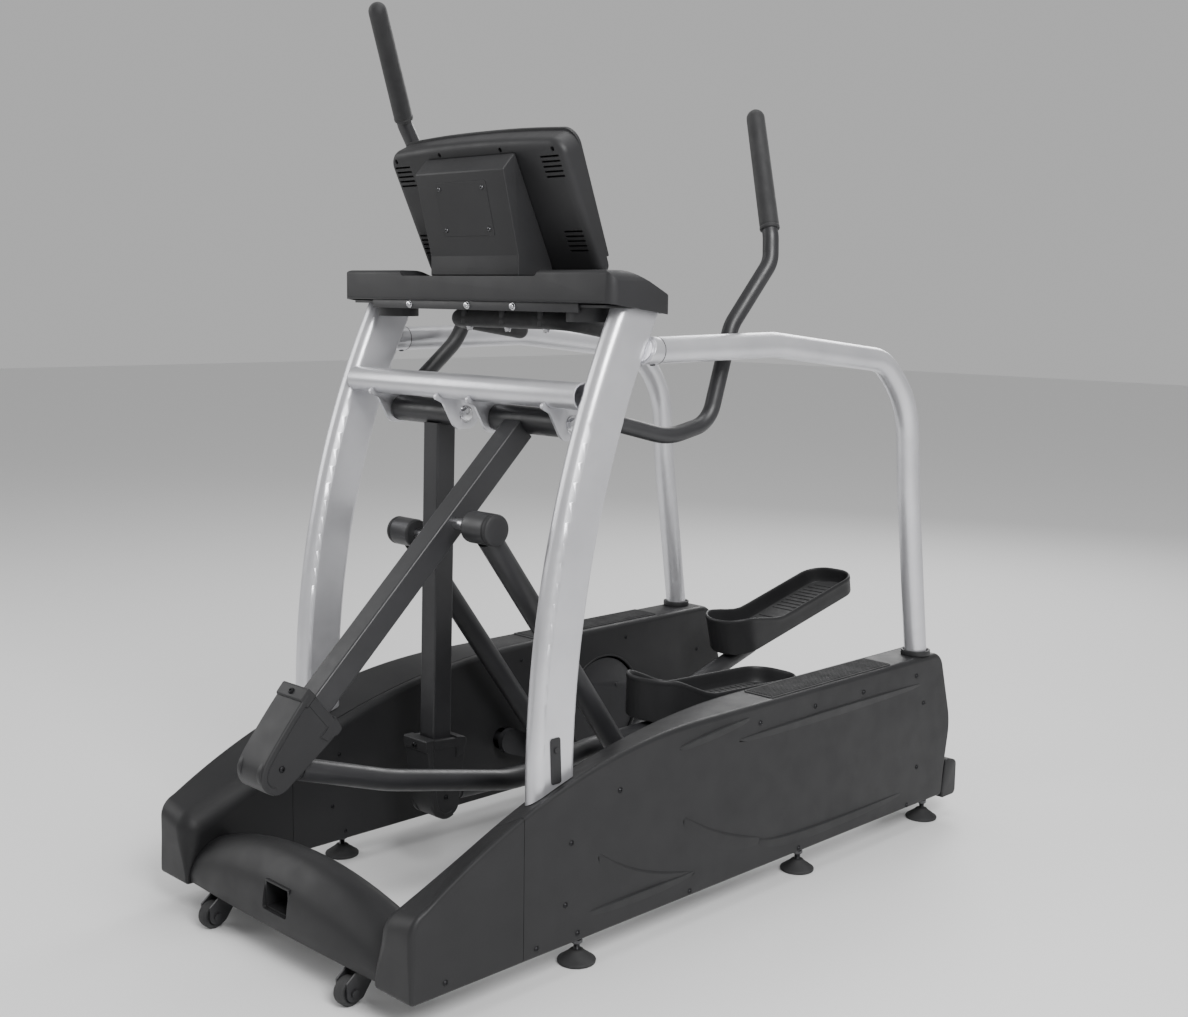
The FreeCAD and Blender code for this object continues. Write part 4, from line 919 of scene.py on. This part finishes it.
# ---------------------------------------------------------------- screws
def build_screws():
    """Detailed heads where the CAD has plain ones: dark on the covers, bright under the tray."""
    mesh = NODES["screws"].data
    work = bmesh.new()
    work.from_mesh(mesh)
    bmesh.ops.remove_doubles(work, verts=work.verts, dist=1e-6)
    dark, bright = Form(), Form()
    left = set(work.verts)
    while left:
        stack, island = [left.pop()], []
        while stack:
            vertex = stack.pop()
            island.append(vertex.co.copy())
            for edge in vertex.link_edges:
                other = edge.other_vert(vertex)
                if other in left:
                    left.remove(other)
                    stack.append(other)
        low = Vector([min(point[i] for point in island) for i in range(3)])
        high = Vector([max(point[i] for point in island) for i in range(3)])
        extent, middle = high - low, (low + high) / 2
        thin = min(range(3), key=lambda i: extent[i])
        axis = Vector((0, 0, 0))
        axis[thin] = 1.0 if thin == 0 and middle.x > 0 else -1.0
        base = middle - axis * extent[thin] / 2
        if thin == 0:
            dark.lathe(base, axis, [(-0.6, 5.6), (0.5, 5.6), (0.8, 5.2), (0.8, 4.7)] + [
                (d + 0.6, r * 0.92, *h) for d, r, *h in SMALL_HEAD[1:]], 24)
        else:
            bright.lathe(base, axis, [(-0.3, 7.2), (0.9, 7.2), (1.2, 6.8), (1.2, 5.7), (4.0, 5.6), (5.0, 5.0),
                                      (5.2, 3.4), (5.2, 3.0, 1), (2.6, 2.9, 1)], 24)
    work.free()
    for side in (1, -1):
        for y, z in INNER_SCREWS:
            dark.lathe(bench(side * (POD_IN + 0.1), y, z), (-side, 0, 0), SMALL_HEAD, 24)
    dark.piece("cover_screws", "frame", "screw_chrome", "black_screw", ["screws"], 30.0)
    bright.piece("tray_bolts", "frame", "screw_chrome", None, (), 30.0)


INNER_SCREWS = ((-218, 179), (-439, 248), (-457, 139), (-425, 78), (73, 366), (421, 368), (690, 295))


# ---------------------------------------------------------------- lug washers, rail joins, handlebar foam
def build_lug_washers():
    """Washers under the hexagonal heads that hold the rockers' pins."""
    form = Form()
    for tag, side in SIDES:
        origin = Vector(JOINTS[f"rocker_{tag}_swing"]["pos_m"])
        for x, way in ((44.0, -1), (257.0, 1)):
            base = Vector((side * x * MM, origin.y, origin.z))
            form.lathe(base, (side * way, 0, 0), [(-0.2, 17), (1.2, 17), (1.6, 16.4), (1.6, 8)], 40)
    form.piece("lug_washers", "frame", "screw_chrome", None, (), 30.0)


RAIL_PLACE, RAIL_HEIGHT = 367.0, 1108.0
SLEEVE_FRONT, SLEEVE_SLANT = -242.2, 0.457    # the sleeve's front end at the rail's height, and its slope


def build_rail_joins():
    """Silver sleeves that carry the rails' front ends, and the dark collars on the pods."""
    split = Vector((0, 0, 0.8))
    for name, way, slot in (("rail_sleeves", -1, "silver_paint"),
                            ("rail_collars", 1, NODE_SLOT["rail_joins"])):
        piece = node_copy("rail_joins", name)
        keep_half(piece, split, Vector((0, 0, way)))
        soften(piece, 0.8 * MM, 3, 32.0)
        finish_piece(piece, "frame", slot, None, ["rail_joins"])
    seams, screws, plugs = Form(), Form(), Form()
    for _, side in SIDES:
        x = side * RAIL_PLACE
        # each sleeve's slanted front end is closed, and a short neck joins it to the upright
        for stages in ([(-0.8, 22.0), (-0.4, 23.0), (0.6, 23.4), (16, 23.4)], [(-5.2, 20.0), (2, 20.0)]):
            rows = []
            for shift, radius in stages:
                row = []
                for step in range(48):
                    turn = 2 * math.pi * step / 48
                    rise = radius * math.sin(turn)
                    row.append(bench(x + radius * math.cos(turn), SLEEVE_FRONT + shift + SLEEVE_SLANT * rise,
                                     RAIL_HEIGHT + rise))
                rows.append(row)
            plugs.loft(rows)
        lip = [(0, 20), (0, 24.6), (0.3, 25.3), (1.5, 25.3), (1.8, 24.6), (1.8, 20)]
        seams.lathe(bench(x, -214.4, RAIL_HEIGHT), (0, 1, 0), lip, 48)
        screws.lathe(bench(x, -222, RAIL_HEIGHT - 24.6), (0, 0, -1), SOCKET_HEAD, 24)
    plugs.piece("rail_plugs", "frame", "silver_paint")
    seams.piece("rail_seams", "frame", "trim_plastic")
    screws.piece("rail_set_screws", "frame", "screw_chrome", "dark_steel", (), 30.0)


def hose(form, corners, bend, radius):
    """A round bar with domed ends along corners that are bent by Bezier arcs."""
    sides = 32
    line = [corners[0]]
    for index in range(1, len(corners) - 1):
        here = corners[index]
        start = here + (corners[index - 1] - here).normalized() * bend
        end = here + (corners[index + 1] - here).normalized() * bend
        for step in range(13):
            t = step / 12
            line.append(start * (1 - t) ** 2 + here * 2 * t * (1 - t) + end * t ** 2)
    line.append(corners[-1])
    ends = ((line[0] - line[1]).normalized(), (line[-1] - line[-2]).normalized())
    dome = [(math.sin(turn) * 0.9, math.cos(turn)) for turn in (1.5, 1.2, 0.9, 0.6, 0.3)]
    spots = [(line[0] + ends[0] * radius * reach, size) for reach, size in dome]
    spots += [(point, 1.0) for point in line]
    spots += [(line[-1] + ends[1] * radius * reach, size) for reach, size in reversed(dome)]
    rows, arm = [], Z_AXIS
    for index, (point, size) in enumerate(spots):
        near, far = spots[max(0, index - 1)][0], spots[min(len(spots) - 1, index + 1)][0]
        along = (far - near).normalized()
        arm = (arm - along * arm.dot(along)).normalized()
        side = along.cross(arm)
        rows.append([point + (arm * math.cos(2 * math.pi * step / sides)
                              + side * math.sin(2 * math.pi * step / sides)) * radius * size
                     for step in range(sides)])
    form.loft(rows)


def build_fixed_grips():
    """Foam along the fixed handlebar under the tray, with a seam and the clamps' bolts below it."""
    half, ahead, high, seam = 165.0, -246.0, 1157.0, -60.0
    bend, radius = 0.045, 0.0182
    foam = Form()
    for start, side in ((seam - 0.6, -1), (seam + 0.6, 1)):
        arm = [bench(side * half, -62, high - 27), bench(side * half, ahead, high), bench(start, ahead, high)]
        hose(foam, arm if side < 0 else arm[::-1], bend, radius)
    foam.lathe(bench(seam - 6, ahead, high), X_AXIS, [(0, 17.2), (12, 17.2)], 32)
    foam.piece("fixed_grip_foam", "frame", "grip_foam", None, ["fixed_grips"], 40.0)
    bolts, head = Form(), [(-4, 7.2), (1.4, 7.2), (1.7, 6.8), (1.7, 5.8), (6.0, 5.6), (7.2, 4.8), (7.4, 3.2),
                           (7.4, 3.0, 1), (4.0, 2.9, 1)]
    for x in (-112, 2, 112):
        bolts.lathe(bench(x, ahead, high - 17.6), (0, 0, -1), head, 24)
    bolts.piece("clamp_bolts", "frame", "screw_chrome", None, (), 30.0)


# ---------------------------------------------------------------- floor, light, camera
def build_stage():
    bpy.ops.mesh.primitive_plane_add(size=40, location=(0, 0, 0))
    floor = bpy.context.object
    floor.name = "floor"
    material = new_material("floor", (0.82, 0.82, 0.82), 0.55, specular=0.2)
    floor.data.materials.append(material)

    world = bpy.data.worlds.new("studio")
    bpy.context.scene.world = world
    world.use_nodes = True
    background = world.node_tree.nodes["Background"]
    background.inputs["Color"].default_value = (1.0, 1.0, 1.0, 1.0)
    background.inputs["Strength"].default_value = 0.5
    lights = (("key", (3.4, -1.6, 3.2), 1.8, 210.0), ("fill", (-3.4, -2.6, 2.4), 2.2, 55.0),
              ("top", (0.2, 0.4, 4.6), 2.6, 70.0), ("rim", (-1.6, 3.8, 2.8), 1.8, 70.0))
    for name, place, size, power in lights:
        data = bpy.data.lights.new(name, "AREA")
        data.shape = "SQUARE"
        data.size = size
        data.energy = power
        light = bpy.data.objects.new(name, data)
        light.location = place
        aim = Vector((0, 0, 0.7)) - Vector(place)
        light.rotation_euler = aim.to_track_quat("-Z", "Y").to_euler()
        bpy.context.scene.collection.objects.link(light)


def build_camera():
    """The camera stands ahead of the machine's right front corner, a little above its tray."""
    turn, lift, roll = math.radians(44.947), math.radians(8.031), math.radians(0.837)
    back = Vector((math.sin(turn) * math.cos(lift), -math.cos(turn) * math.cos(lift), math.sin(lift)))
    right = (-back).cross(Z_AXIS).normalized()
    up = right.cross(-back)
    level = Matrix((right, up, back)).transposed()
    data = bpy.data.cameras.new("camera")
    data.sensor_width = 36.0
    data.lens = 45.685
    camera = bpy.data.objects.new("camera", data)
    bpy.context.scene.collection.objects.link(camera)
    camera.matrix_world = Matrix.Translation((2.222, -2.224 + SHIFT, 1.204)) @ (
        level @ Matrix.Rotation(roll, 3, "Z")).to_4x4()
    bpy.context.scene.camera = camera


# ---------------------------------------------------------------- build
build_stage()
build_camera()
for node, piece in NODES.items():
    piece.data.materials.clear()
    piece.data.materials.append(MATERIALS[NODE_SLOT[node]])
for tag, side in SIDES:
    build_pod(tag, side)
    build_boot(tag, side)
    build_hub_cover(tag, side)
    build_grip(tag)
    build_pedal(tag, side)
build_step_pads()
build_shroud()
build_feet()
build_wheels()
build_tray()
build_console()
build_lug_washers()
build_rail_joins()
build_fixed_grips()
build_screws()
for node, width in (("crossbar", 1.2), ("pivot_pins", 0.9), ("slot_plates", 1.0), ("wheel_forks", 1.0),
                    ("rear_crossmember", 3.0), ("cup_holders", 1.5), ("drive_disc_r", 2.5),
                    ("drive_disc_l", 2.5), ("tray_plate", 0.8)):
    refined(node, width * MM)
